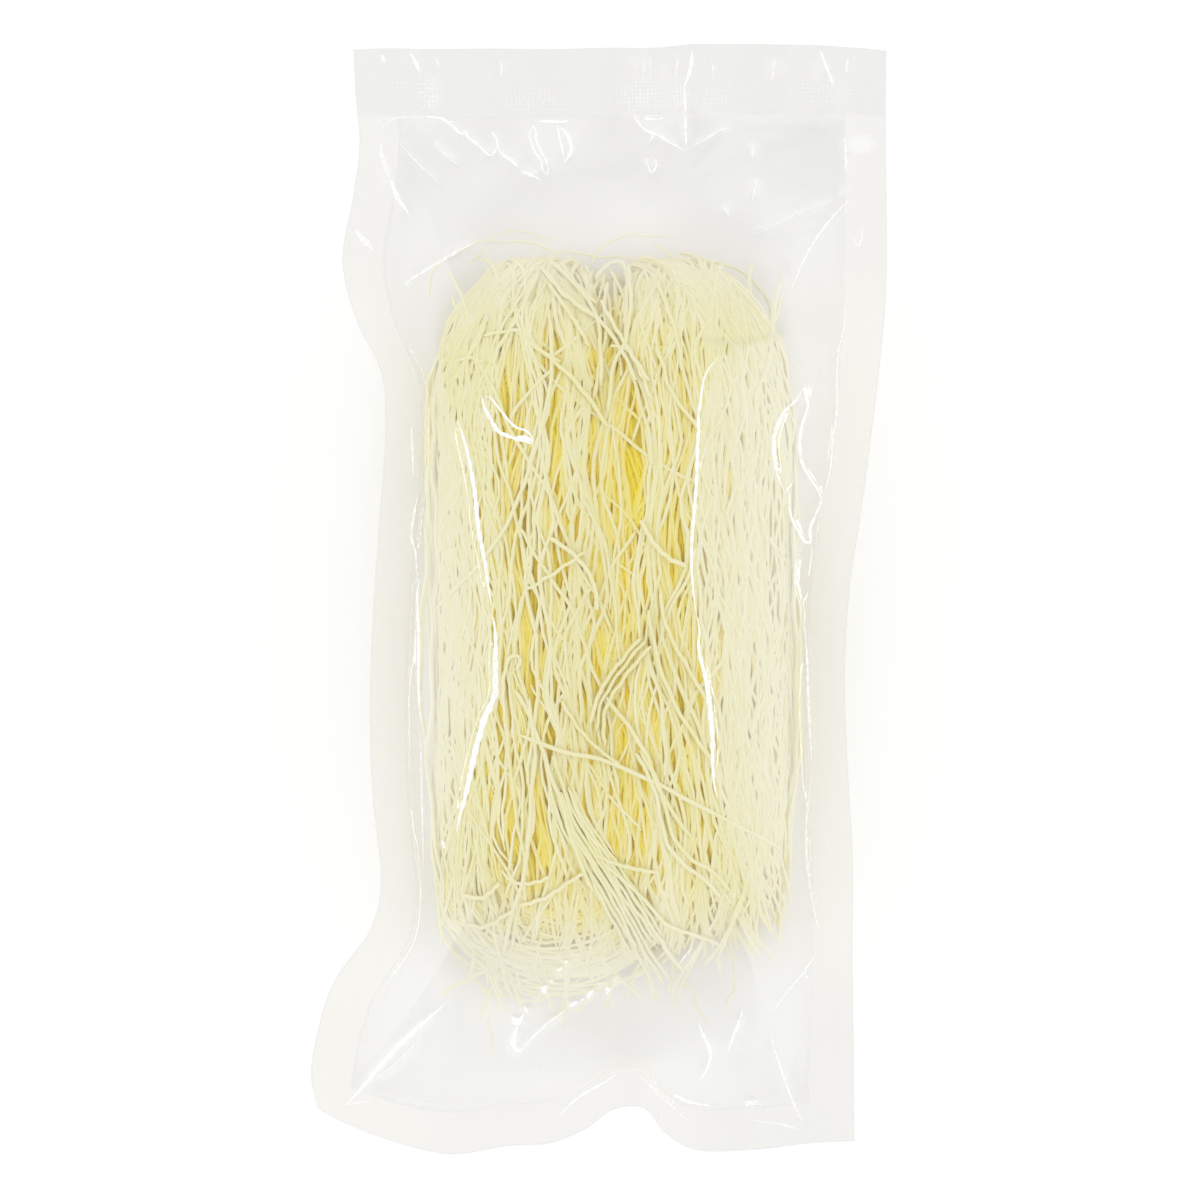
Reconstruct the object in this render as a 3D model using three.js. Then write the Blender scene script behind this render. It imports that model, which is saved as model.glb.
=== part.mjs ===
// A hank of dry mung bean vermicelli in a flat clear bag, welded shut along all four edges.
// The bag lies on its back. Units are millimetres, +Z is up, +X runs across the bag and +Y along it,
// towards the ribbed closing weld. The origin is under the middle of the bag, on the table.
//
// The bag is shut, so it is one solid: the space between its upper and its lower film. Both films
// are grids over the same plan. Each is stretched like a drumhead between the four welds, the upper
// one over the hank and over the folds that pull at the corners, the lower one against the table.

import * as THREE from "three";

// ---- Driving dimensions -------------------------------------------------------------------------
const SIDE_WELD = 9; // width of the weld along each side
const FOOT_WELD = 9; // width of the weld along the bottom edge
const HEAD_WELD = 14.7; // flat closing end, ribbed weld and free lip together
const WELD_THICKNESS = 0.8; // two films lying on each other, made stout enough to handle as a solid

const HANK = {
  x: 2.5, // middle of the hank
  y: -1,
  halfWidth: 42,
  halfLength: 82,
  height: 28.5, // top of the hank above the table
  valleyX: 1.5, // furrow between the two legs of the folded hank
  valleyDepth: 2.2,
  valleyWidth: 7,
};

// Flat patch under the hank, where the lower film lies on the table.
const FOOTPRINT = { x: 2.5, y: -1, halfWidth: 27, halfLength: 62, corner: 4 };

// Where the film is drawn tight, the bundles of noodles print through it as long low ribs.
const BUNDLE = { pitch: 10.4, height: 0.9, sway: 2.2, swayLength: 96, printDepth: 1.4 };

// ---- Grid ---------------------------------------------------------------------------------------
// The lower film has one cell for every two by two cells of the upper film, so all counts are even.
const CELLS = { sideWeld: 4, across: 40, footWeld: 4, along: 84, headWeld: 6 };
const COLUMNS = 2 * CELLS.sideWeld + CELLS.across;
const ROWS = CELLS.footWeld + CELLS.along + CELLS.headWeld;
const RELAX_SWEEPS = 320;
const OVER_RELAX = 1.9;

// ---- Edges of the bag, each point [x, y, height of the weld above the table] ---------------------
// The flat bag is 120 by 242. Filled, its sides are drawn in beside the hank and its free ends wave.
const LEFT_EDGE = [
  [-62.0, -111.5, 5.0], [-63.4, -105.0, 4.5], [-62.4, -96.5, 4.0], [-58.5, -84.0, 4.5],
  [-50.0, -71.5, 7.0], [-48.0, -62.0, 8.5], [-49.7, -44.0, 10.0], [-50.4, -24.0, 11.0],
  [-49.7, -4.0, 11.0], [-48.4, 16.0, 10.5], [-47.0, 38.0, 9.0], [-48.0, 50.0, 8.0],
  [-53.5, 61.5, 6.5], [-56.5, 74.5, 5.0], [-54.3, 88.0, 4.5], [-52.8, 100.0, 4.5],
  [-53.6, 110.0, 4.0], [-54.2, 120.9, 3.5],
];
const RIGHT_EDGE = [
  [55.9, -118.9, 2.5], [55.7, -97.0, 3.5], [55.4, -77.0, 5.5], [55.4, -57.0, 7.5],
  [54.3, -37.0, 9.0], [53.6, -18.0, 10.0], [54.6, 2.0, 10.0], [57.0, 18.0, 9.0],
  [59.5, 36.0, 7.5], [61.6, 54.0, 6.0], [62.8, 68.0, 5.0], [62.9, 88.0, 4.5],
  [62.7, 105.0, 4.5], [62.9, 120.6, 4.0],
];
const FOOT_EDGE = [
  [-62.0, -111.5, 5.0], [-57.0, -114.4, 3.5], [-46.0, -118.8, 2.5], [-33.0, -121.8, 2.0],
  [-20.0, -119.9, 3.5], [-11.0, -119.2, 5.0], [-3.0, -115.8, 8.5], [3.0, -111.4, 12.0],
  [9.5, -111.0, 12.5], [14.0, -116.5, 8.0], [20.5, -120.6, 3.5], [34.0, -120.8, 2.0],
  [47.0, -119.3, 2.2], [55.9, -118.9, 2.5],
];
const HEAD_EDGE = [
  [-54.2, 120.9, 3.5], [-46.0, 121.0, 6.0], [-38.0, 121.0, 3.2], [-24.0, 121.0, 5.0],
  [-11.0, 121.0, 3.0], [3.0, 121.1, 6.5], [12.0, 121.3, 3.2], [20.0, 121.8, 7.5],
  [30.0, 122.1, 3.6], [40.0, 122.0, 3.2], [49.0, 121.6, 6.5], [57.0, 121.2, 3.6],
  [62.9, 120.6, 4.0],
];

// ---- Folds that hold the upper film up, from the welds to the shoulders of the hank ---------------
const FOLDS = [
  [[50.0, 88.0, 4.0], [42.0, 73.0, 12.5], [30.0, 52.0, 19.6]],
  [[-42.0, 98.0, 4.0], [-35.0, 78.0, 11.5], [-25.0, 54.0, 18.6]],
  [[-52.0, -103.0, 3.0], [-40.0, -88.0, 10.0], [-24.0, -62.0, 17.4]],
  [[43.0, -107.0, 2.5], [36.0, -90.0, 9.5], [27.0, -62.0, 18.0]],
  [[6.0, -101.0, 9.5], [8.0, -90.0, 11.0], [9.0, -74.0, 15.5]],
  [[19.0, 105.0, 4.5], [17.0, 95.0, 7.5], [14.0, 78.0, 10.5]],
  [[-35.0, 105.0, 4.0], [-22.0, 98.0, 7.2], [-10.0, 88.0, 9.0]],
];
const FOLD_SIDE_SLOPE = 0.9; // fall of the film beside a fold, height over distance

// ---- Plan of the bag ------------------------------------------------------------------------------
function smoothCurve(points) {
  return new THREE.CatmullRomCurve3(points.map((p) => new THREE.Vector3(...p)), false, "centripetal");
}

const edges = {
  left: smoothCurve(LEFT_EDGE),
  right: smoothCurve(RIGHT_EDGE),
  foot: smoothCurve(FOOT_EDGE),
  head: smoothCurve(HEAD_EDGE),
};

// Shares of the way along an edge at which the grid lines start: close in the welds, even between.
function stations(length, firstWeld, firstCells, innerCells, lastWeld, lastCells) {
  const shares = [];
  for (let i = 0; i < firstCells; i++) shares.push((i / firstCells) * (firstWeld / length));
  const inner = length - firstWeld - lastWeld;
  for (let i = 0; i < innerCells; i++) shares.push((firstWeld + (i / innerCells) * inner) / length);
  for (let i = 0; i <= lastCells; i++) shares.push((length - lastWeld + (i / lastCells) * lastWeld) / length);
  return shares;
}

// A point of the sheet that the four edges span (a Coons patch).
function sheetPoint(u, v) {
  const [left, right] = [edges.left.getPointAt(v), edges.right.getPointAt(v)];
  const [foot, head] = [edges.foot.getPointAt(u), edges.head.getPointAt(u)];
  const across = left.multiplyScalar(1 - u).add(right.multiplyScalar(u));
  const along = foot.multiplyScalar(1 - v).add(head.multiplyScalar(v));
  const footCorners = edges.foot.getPoint(0).multiplyScalar(1 - u).add(edges.foot.getPoint(1).multiplyScalar(u));
  const headCorners = edges.head.getPoint(0).multiplyScalar(1 - u).add(edges.head.getPoint(1).multiplyScalar(u));
  return across.add(along).sub(footCorners.multiplyScalar(1 - v)).sub(headCorners.multiplyScalar(v));
}

// ---- What the films lie on --------------------------------------------------------------------------
// Height of the hank: a flattened cushion with a furrow along it.
function hankTop(x, y) {
  const across = Math.abs((x - HANK.x) / HANK.halfWidth);
  const along = Math.abs((y - HANK.y) / HANK.halfLength);
  if (across >= 1 || along >= 1) return -1;
  const cushion = HANK.height * (1 - across ** 2.4) ** 0.55 * (1 - along ** 3.2) ** 0.6;
  const furrow = HANK.valleyDepth * Math.exp(-(((x - HANK.valleyX) / HANK.valleyWidth) ** 2));
  return cushion - furrow * (cushion / HANK.height);
}

// Height of the highest fold over a point: a roof that falls away on both sides of each fold line.
function foldRoof(x, y) {
  let highest = -1;
  for (const fold of FOLDS)
    for (let i = 0; i + 1 < fold.length; i++) {
      const [[ax, ay, az], [bx, by, bz]] = [fold[i], fold[i + 1]];
      const share = ((x - ax) * (bx - ax) + (y - ay) * (by - ay)) / ((bx - ax) ** 2 + (by - ay) ** 2);
      const s = THREE.MathUtils.clamp(share, 0, 1);
      const distance = Math.hypot(x - ax - s * (bx - ax), y - ay - s * (by - ay));
      highest = Math.max(highest, az + s * (bz - az) - FOLD_SIDE_SLOPE * distance);
    }
  return highest;
}

// Long ribs of the noodle bundles, -1 to 1.
function bundleRib(x, y) {
  const sway = BUNDLE.sway * Math.sin((2 * Math.PI * (y + 0.4 * x)) / BUNDLE.swayLength);
  const wide = Math.cos((2 * Math.PI * (x + sway)) / BUNDLE.pitch);
  const wider = Math.cos((2 * Math.PI * (x - sway)) / (1.6 * BUNDLE.pitch) + 1);
  return (wide + wider) / 2;
}

function onFootprint(x, y) {
  const dx = Math.max(Math.abs(x - FOOTPRINT.x) - FOOTPRINT.halfWidth + FOOTPRINT.corner, 0);
  const dy = Math.max(Math.abs(y - FOOTPRINT.y) - FOOTPRINT.halfLength + FOOTPRINT.corner, 0);
  return Math.hypot(dx, dy) <= FOOTPRINT.corner;
}

// ---- The two films ------------------------------------------------------------------------------------
const inWeld = (i, j) =>
  i <= CELLS.sideWeld || i >= COLUMNS - CELLS.sideWeld || j <= CELLS.footWeld || j >= ROWS - CELLS.headWeld;

function makePlan() {
  const us = stations(120, SIDE_WELD, CELLS.sideWeld, CELLS.across, SIDE_WELD, CELLS.sideWeld);
  const vs = stations(242, FOOT_WELD, CELLS.footWeld, CELLS.along, HEAD_WELD, CELLS.headWeld);
  return vs.map((v) => us.map((u) => sheetPoint(u, v)));
}

// Heights of a film on the plan's grid: pulled level by its neighbours, then held by hold(x, y, z).
function stretchFilm(plan, hold) {
  const z = plan.map((row) => row.map((p) => p.z));
  for (let sweep = 0; sweep < RELAX_SWEEPS; sweep++)
    for (let j = 1; j < ROWS; j++)
      for (let i = 1; i < COLUMNS; i++) {
        if (inWeld(i, j)) continue;
        const level = (z[j][i - 1] + z[j][i + 1] + z[j - 1][i] + z[j + 1][i]) / 4;
        const { x, y } = plan[j][i];
        z[j][i] = hold(x, y, z[j][i] + OVER_RELAX * (level - z[j][i]));
      }
  return z;
}

// The coarse lower film, read at a point of the fine grid along its own flat triangles.
function lowerAt(lower, i, j) {
  const [i0, j0, oddI, oddJ] = [i - (i % 2), j - (j % 2), i % 2, j % 2];
  return (lower[j0][i0] + lower[j0 + 2 * oddJ][i0 + 2 * oddI]) / 2;
}

function makeFilms(plan) {
  const half = WELD_THICKNESS / 2;
  const lower = stretchFilm(plan, (x, y, z) => (onFootprint(x, y) ? 0 : Math.max(z, 0)));
  const upper = stretchFilm(plan, (x, y, z) => Math.max(z, hankTop(x, y), foldRoof(x, y)));
  lower.forEach((row) => row.forEach((z, i) => (row[i] = Math.max(z - half, 0))));
  upper.forEach((row, j) =>
    row.forEach((z, i) => {
      const under = lowerAt(lower, i, j) + WELD_THICKNESS;
      if (inWeld(i, j)) return (row[i] = under);
      const { x, y } = plan[j][i];
      const print = THREE.MathUtils.clamp(1 - (z - hankTop(x, y)) / BUNDLE.printDepth, 0, 1);
      return (row[i] = Math.max(z + half + print * (BUNDLE.height / 2) * bundleRib(x, y), under));
    }),
  );
  return { lower, upper };
}

// ---- The solid between them ---------------------------------------------------------------------------
function bagGeometry() {
  const plan = makePlan();
  const { lower, upper } = makeFilms(plan);
  const positions = [];
  const index = [];
  const addVertex = (p, z) => positions.push(p.x, p.y, z) / 3 - 1;
  const top = plan.map((row, j) => row.map((p, i) => addVertex(p, upper[j][i])));
  const bottom = plan.map((row, j) => row.map((p, i) => (i % 2 || j % 2 ? -1 : addVertex(p, lower[j][i]))));

  for (let j = 0; j < ROWS; j++)
    for (let i = 0; i < COLUMNS; i++) {
      const [a, b, c, d] = [top[j][i], top[j][i + 1], top[j + 1][i + 1], top[j + 1][i]];
      index.push(a, b, c, a, c, d);
    }
  for (let j = 0; j < ROWS; j += 2)
    for (let i = 0; i < COLUMNS; i += 2) {
      const [a, b, c, d] = [bottom[j][i], bottom[j][i + 2], bottom[j + 2][i + 2], bottom[j + 2][i]];
      index.push(a, c, b, a, d, c);
    }
  // The narrow wall round the rim, one lower edge to two upper ones, walked anticlockwise.
  const rim = [];
  for (let i = 0; i < COLUMNS; i++) rim.push([i, 0]);
  for (let j = 0; j < ROWS; j++) rim.push([COLUMNS, j]);
  for (let i = COLUMNS; i > 0; i--) rim.push([i, ROWS]);
  for (let j = ROWS; j > 0; j--) rim.push([0, j]);
  for (let k = 0; k < rim.length; k += 2) {
    const [[i0, j0], [i1, j1], [i2, j2]] = [rim[k], rim[k + 1], rim[(k + 2) % rim.length]];
    const [low0, low2] = [bottom[j0][i0], bottom[j2][i2]];
    const [high0, high1, high2] = [top[j0][i0], top[j1][i1], top[j2][i2]];
    index.push(low0, high1, high0, low0, low2, high1, low2, high2, high1);
  }
  const geometry = new THREE.BufferGeometry();
  geometry.setAttribute("position", new THREE.Float32BufferAttribute(positions, 3));
  geometry.setIndex(index);
  geometry.computeBoundingBox();
  const { min, max } = geometry.boundingBox;
  geometry.translate(-(min.x + max.x) / 2, -(min.y + max.y) / 2, -min.z);
  geometry.computeVertexNormals();
  return geometry;
}

const bag = new THREE.Mesh(
  bagGeometry(),
  new THREE.MeshStandardMaterial({ color: 0xeee8c4, roughness: 0.3, metalness: 0 }),
);
bag.name = "vermicelli_bag";

const group = new THREE.Group();
group.add(bag);

export default group;
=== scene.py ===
# %% [markdown]
# # A hank of dry mung bean vermicelli in a clear bag
#
# The real pack is two clear films welded together along the sides, the foot and the head, with a
# folded hank of dry starch noodles inside. The CAD model has it as one closed solid, which is right
# for collision and mass but hides the noodles. This lesson replaces that solid with what is really
# there: an upper film, a lower film, their welded margins, and the noodles between them.
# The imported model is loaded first, so that everything is made in its frame.

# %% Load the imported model
import math

import bpy
import numpy as np
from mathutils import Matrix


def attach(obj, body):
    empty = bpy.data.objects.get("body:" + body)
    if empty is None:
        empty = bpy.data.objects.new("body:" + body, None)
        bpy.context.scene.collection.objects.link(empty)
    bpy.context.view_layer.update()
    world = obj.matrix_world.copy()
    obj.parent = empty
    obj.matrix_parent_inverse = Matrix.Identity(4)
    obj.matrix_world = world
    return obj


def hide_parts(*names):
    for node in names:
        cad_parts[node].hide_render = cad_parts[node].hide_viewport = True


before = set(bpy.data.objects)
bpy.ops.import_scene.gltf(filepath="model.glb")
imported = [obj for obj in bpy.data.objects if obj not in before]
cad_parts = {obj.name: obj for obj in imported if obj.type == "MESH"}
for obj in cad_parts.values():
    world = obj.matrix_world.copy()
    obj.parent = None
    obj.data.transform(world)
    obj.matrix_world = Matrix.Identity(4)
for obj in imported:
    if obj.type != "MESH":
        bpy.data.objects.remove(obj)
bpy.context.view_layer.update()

scene = bpy.context.scene
MM = 0.001

# %% [markdown]
# ## Camera
#
# The photograph looks straight down on the bag, with the closing weld at the top. A long lens from two
# metres up gives the same flat view. The creases and the longer noodles further down were placed on
# the photograph, so one helper turns a place on its 1200 by 1200 pixels into millimetres on the
# table. A thing that lies higher looks further from the middle, and the helper can take that out
# again.

# %% Camera and the photograph's scale
PHOTO_PIXELS = 1200
MM_PER_PIXEL = 0.22
PHOTO_MIDDLE = 599.5
CAMERA_HEIGHT = 2000.0
SENSOR = 36.0


def on_table(places, height=0.0):
    """Places on the photograph, in pixels, as millimetres across and along the bag."""
    p = np.asarray(places, float)
    flat = np.stack([p[..., 0] - PHOTO_MIDDLE, PHOTO_MIDDLE - p[..., 1]], -1) * MM_PER_PIXEL
    return flat * (1 - np.asarray(height)[..., None] / CAMERA_HEIGHT)


frame_width = PHOTO_PIXELS * MM_PER_PIXEL
lens = bpy.data.cameras.new("camera")
lens.sensor_width = SENSOR
lens.lens = SENSOR * CAMERA_HEIGHT / frame_width
lens.clip_start, lens.clip_end = 0.01, 20
camera = bpy.data.objects.new("camera", lens)
camera.location = (0, 0, CAMERA_HEIGHT * MM)
scene.collection.objects.link(camera)
scene.camera = camera
print(f"the frame is {frame_width:.0f} mm wide through a {lens.lens:.0f} mm lens")

# %% [markdown]
# ## Light
#
# The photograph was taken in very even light, so four large soft boxes stand round the bag and a pale
# sky fills in. Film mirrors its surroundings, and would mirror the boxes as four big patches, so they
# light the scene without showing in mirrors. What the film mirrors is the sky, brightest at the
# horizon, and a narrow hot strip near the horizon on each side, which draws a thin crisp line where
# the film bends steeply. The strips beyond the head and the foot hang higher and are hotter, because
# the film falls away more gently there.

# %% Soft boxes and hot strips
BOX_SIZE, BOX_DISTANCE, BOX_HEIGHT, BOX_RADIANCE = (1.3, 0.75), 1.05, 0.95, 0.37
STRIP_SIZE, STRIP_DISTANCE = (1.1, 0.012), 1.4
STRIP_HEIGHT = {"end": 0.30, "side": 0.04}
STRIP_RADIANCE = {"end": 38.0, "side": 12.0}


def area_light(name, place, size, radiance, mirrored):
    """A lamp at a place in metres, aimed at the bag, only to light it or only to be mirrored."""
    lamp = bpy.data.lights.new(name, "AREA")
    lamp.shape = "RECTANGLE"
    lamp.size, lamp.size_y = size
    lamp.energy = radiance * math.pi * size[0] * size[1]
    rig = bpy.data.objects.new(name, lamp)
    rig.location = place
    rig.rotation_euler = (-rig.location).normalized().to_track_quat("-Z", "Y").to_euler()
    rig.visible_diffuse = rig.visible_transmission = not mirrored
    rig.visible_glossy = mirrored
    scene.collection.objects.link(rig)


for name, (x, y) in {"left": (-1, 0), "right": (1, 0), "head": (0, 1), "foot": (0, -1)}.items():
    where = "end" if y else "side"
    box_place = (x * BOX_DISTANCE, y * BOX_DISTANCE, BOX_HEIGHT)
    strip_place = (x * STRIP_DISTANCE, y * STRIP_DISTANCE, STRIP_HEIGHT[where])
    area_light(f"box_{name}", box_place, BOX_SIZE, BOX_RADIANCE, mirrored=False)
    area_light(f"strip_{name}", strip_place, STRIP_SIZE, STRIP_RADIANCE[where], mirrored=True)
print(f"soft boxes at {BOX_HEIGHT} m, hot strips at {STRIP_HEIGHT}")

# %% [markdown]
# ## Shader nodes
#
# Materials and the sky are made of shader nodes. One helper adds a node with its inputs, so that a
# material reads as a short list of what it is made of.

# %% Helpers for shader nodes
def node(tree, kind, links=None, **settings):
    """Adds a shader node. links maps an input to a socket or a constant."""
    made = tree.nodes.new("ShaderNode" + kind)
    for key, value in settings.items():
        setattr(made, key, value)
    for key, value in (links or {}).items():
        if isinstance(value, bpy.types.NodeSocket):
            tree.links.new(value, made.inputs[key])
        else:
            made.inputs[key].default_value = value
    return made


def new_material(name):
    """An empty material and its node tree."""
    material = bpy.data.materials.new(name)
    material.use_nodes = True
    material.node_tree.nodes.clear()
    return material, material.node_tree


# %% [markdown]
# ## Sky
#
# The sky is evenly bright from the horizon up, and fades near the zenith. How high a place in the sky
# is comes from the direction of the ray, so it is the same for every camera. Light goes through many
# bounces here, because pale noodles pass it on to each other and rays cross many layers of clear film.

# %% Sky and bounces
HORIZON, ZENITH, FADE_STARTS_AT = 1.0, 0.78, 0.65
BOUNCES, CLEAR_LAYERS = 16, 24

world = bpy.data.worlds.new("studio")
scene.world = world
world.use_nodes = True
sky = world.node_tree
direction = node(sky, "TexCoord")
upward = node(sky, "SeparateXYZ", {0: direction.outputs["Generated"]})
brightness = {"From Min": FADE_STARTS_AT, "From Max": 1.0, "To Min": HORIZON, "To Max": ZENITH}
fade = node(sky, "MapRange", {"Value": upward.outputs["Z"], **brightness})
sky.links.new(fade.outputs[0], sky.nodes["Background"].inputs["Strength"])
sky.nodes["Background"].inputs["Color"].default_value = (1, 1, 1, 1)

scene.view_settings.view_transform = "Standard"
scene.cycles.max_bounces = BOUNCES
scene.cycles.diffuse_bounces = BOUNCES
scene.cycles.transmission_bounces = BOUNCES
scene.cycles.transparent_max_bounces = CLEAR_LAYERS
scene.cycles.caustics_reflective = True
scene.cycles.caustics_refractive = False
print(f"sky from {HORIZON} at the horizon to {ZENITH} overhead")

# %% [markdown]
# ## Mesh helpers
#
# Every piece is made from arrays: a grid of points becomes a sheet, and a row of points along a
# noodle becomes a tube. Arrays are quick, and they leave one plain mesh a piece, with no modifiers.
# A number can be stored at each point of a piece, for its material to read as an attribute.

# %% Helpers that make a piece
def make_piece(name, points, quads, material, smooth=True, extra_faces=()):
    """A mesh object from points in millimetres and four-cornered faces, riding on the bag."""
    mesh = bpy.data.meshes.new(name)
    faces = [np.asarray(quads).reshape(-1, 4)] + [np.asarray(f) for f in extra_faces]
    corners = np.concatenate([f.ravel() for f in faces])
    totals = np.concatenate([np.full(len(f), f.shape[1]) for f in faces])
    starts = np.concatenate([[0], np.cumsum(totals)[:-1]])
    mesh.vertices.add(len(points))
    mesh.vertices.foreach_set("co", (np.asarray(points) * MM).astype(np.float32).ravel())
    mesh.loops.add(len(corners))
    mesh.loops.foreach_set("vertex_index", corners.astype(np.int32))
    mesh.polygons.add(len(totals))
    mesh.polygons.foreach_set("loop_start", starts.astype(np.int32))
    mesh.polygons.foreach_set("use_smooth", np.full(len(totals), smooth))
    mesh.update(calc_edges=True)
    mesh.validate()
    mesh.materials.append(material)
    piece = bpy.data.objects.new(name, mesh)
    scene.collection.objects.link(piece)
    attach(piece, "root")
    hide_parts("vermicelli_bag")
    print(f"{name}: {len(points)} points, {int((totals - 2).sum())} triangles")
    return piece


def vertex_value(piece, name, values):
    """Stores one number at each point of a piece, for its material to read."""
    layer = piece.data.attributes.new(name, "FLOAT", "POINT")
    layer.data.foreach_set("value", np.asarray(values, np.float32).ravel())


# %% [markdown]
# ## Floor
#
# The bag lies on a plain pale sheet of paper with a trace of grain, lit until it is nearly white. It
# is stage, so it is no part of the model. It lies a hair below zero, so that it doesn't flicker
# through the film that rests on it.

# %% Pale floor
FLOOR_HALF, FLOOR_DROP = 2.0, 0.0002
PAPER_DARK, PAPER_LIGHT = (0.95, 0.95, 0.95, 1), (0.97, 0.97, 0.97, 1)

floor_material, tree = new_material("floor")
grain = node(tree, "TexNoise", {"Scale": 40.0})
tone = node(tree, "MixRGB", {"Fac": grain.outputs[0], 1: PAPER_DARK, 2: PAPER_LIGHT})
paint = node(tree, "BsdfPrincipled", {"Base Color": tone.outputs[0], "Roughness": 0.9})
node(tree, "OutputMaterial", {"Surface": paint.outputs[0]})

corners = ((-1, -1), (1, -1), (1, 1), (-1, 1))
floor_points = [(x * FLOOR_HALF, y * FLOOR_HALF, -FLOOR_DROP) for x, y in corners]
floor_mesh = bpy.data.meshes.new("floor")
floor_mesh.from_pydata(floor_points, [], [(0, 1, 2, 3)])
floor_mesh.materials.append(floor_material)
floor = bpy.data.objects.new("floor", floor_mesh)
scene.collection.objects.link(floor)
print(f"floor: {2 * FLOOR_HALF:.0f} m square")

# %% [markdown]
# ## The outline of the bag
#
# The flat bag is 120 mm wide and 242 mm long. Filled, its sides are drawn in beside the hank, and the
# free ends wave. The four edges are the same named curves that the CAD model uses, each point with
# its height above the table.

# %% The four edges, in millimetres
LEFT_EDGE = [
    [-62.0, -111.5, 5.0], [-63.4, -105.0, 4.5], [-62.4, -96.5, 4.0], [-58.5, -84.0, 4.5],
    [-50.0, -71.5, 7.0], [-48.0, -62.0, 8.5], [-49.7, -44.0, 10.0], [-50.4, -24.0, 11.0],
    [-49.7, -4.0, 11.0], [-48.4, 16.0, 10.5], [-47.0, 38.0, 9.0], [-48.0, 50.0, 8.0],
    [-53.5, 61.5, 6.5], [-56.5, 74.5, 5.0], [-54.3, 88.0, 4.5], [-52.8, 100.0, 4.5],
    [-53.6, 110.0, 4.0], [-54.2, 120.9, 3.5],
]
RIGHT_EDGE = [
    [55.9, -118.9, 2.5], [55.7, -97.0, 3.5], [55.4, -77.0, 5.5], [55.4, -57.0, 7.5],
    [54.3, -37.0, 9.0], [53.6, -18.0, 10.0], [54.6, 2.0, 10.0], [57.0, 18.0, 9.0],
    [59.5, 36.0, 7.5], [61.6, 54.0, 6.0], [62.8, 68.0, 5.0], [62.9, 88.0, 4.5],
    [62.7, 105.0, 4.5], [62.9, 120.6, 4.0],
]
FOOT_EDGE = [
    [-62.0, -111.5, 5.0], [-57.0, -114.4, 3.5], [-46.0, -118.8, 2.5], [-33.0, -121.8, 2.0],
    [-20.0, -119.9, 3.5], [-11.0, -119.2, 5.0], [-3.0, -115.8, 8.5], [3.0, -111.4, 12.0],
    [9.5, -111.0, 12.5], [14.0, -116.5, 8.0], [20.5, -120.6, 3.5], [34.0, -120.8, 2.0],
    [47.0, -119.3, 2.2], [55.9, -118.9, 2.5],
]
HEAD_EDGE = [
    [-54.2, 120.9, 3.5], [-46.0, 121.0, 6.0], [-38.0, 121.0, 3.2], [-24.0, 121.0, 5.0],
    [-11.0, 121.0, 3.0], [3.0, 121.1, 6.5], [12.0, 121.3, 3.2], [20.0, 121.8, 7.5],
    [30.0, 122.1, 3.6], [40.0, 122.0, 3.2], [49.0, 121.6, 6.5], [57.0, 121.2, 3.6],
    [62.9, 120.6, 4.0],
]
FLAT_WIDTH, FLAT_LENGTH = 120.0, 242.0
SIDE_WELD, FOOT_WELD, HEAD_WELD = 9.0, 9.0, 14.7
print(f"a flat bag of {FLAT_WIDTH} by {FLAT_LENGTH} mm, welds {SIDE_WELD} and {HEAD_WELD} mm wide")

# %% [markdown]
# The sheet between the edges is a Coons patch: a surface that is blended from its four edges. Two
# numbers from 0 to 1 name a place on it, u across and v along. The smooth edges come from a
# Catmull-Rom curve, which passes through every point it is given.

# %% Curves, and the sheet between the edges
def smooth_curve(points, per_span=60):
    """A curve through the points (centripetal Catmull-Rom), as finely spaced points."""
    p = np.asarray(points, float)
    p = np.vstack([2 * p[0] - p[1], p, 2 * p[-1] - p[-2]])
    t = np.linspace(0, 1, per_span, endpoint=False)[:, None]
    spans = []
    for a, b, c, d in zip(p, p[1:], p[2:], p[3:]):
        k0, k1, k2 = (max(np.linalg.norm(e - f), 1e-9) ** 0.5 for e, f in ((b, a), (c, b), (d, c)))
        m1 = ((b - a) / k0 - (c - a) / (k0 + k1) + (c - b) / k1) * k1
        m2 = ((c - b) / k1 - (d - b) / (k1 + k2) + (d - c) / k2) * k1
        spans.append(b + m1 * t + (3 * (c - b) - 2 * m1 - m2) * t**2 + (2 * (b - c) + m1 + m2) * t**3)
    return np.vstack(spans + [p[-2:-1]])


def by_length(points, shares):
    """Points at given shares of a curve's length."""
    steps = np.linalg.norm(np.diff(points, axis=0), axis=1)
    along = np.concatenate([[0], np.cumsum(steps)]) / steps.sum()
    return np.stack([np.interp(shares, along, points[:, k]) for k in range(points.shape[1])], -1)


left_edge, right_edge, foot_edge, head_edge = (
    smooth_curve(edge) for edge in (LEFT_EDGE, RIGHT_EDGE, FOOT_EDGE, HEAD_EDGE)
)


def sheet(u, v):
    """Points of the bag's flat sheet, in millimetres, at u across and v along."""
    u, v = np.broadcast_arrays(np.asarray(u, float), np.asarray(v, float))
    left, right = by_length(left_edge, v), by_length(right_edge, v)
    foot, head = by_length(foot_edge, u), by_length(head_edge, u)
    u, v = u[..., None], v[..., None]
    foot_corners = (1 - u) * foot_edge[0] + u * foot_edge[-1]
    head_corners = (1 - u) * head_edge[0] + u * head_edge[-1]
    corners = (1 - v) * foot_corners + v * head_corners
    return (1 - u) * left + u * right + (1 - v) * foot + v * head - corners


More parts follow.
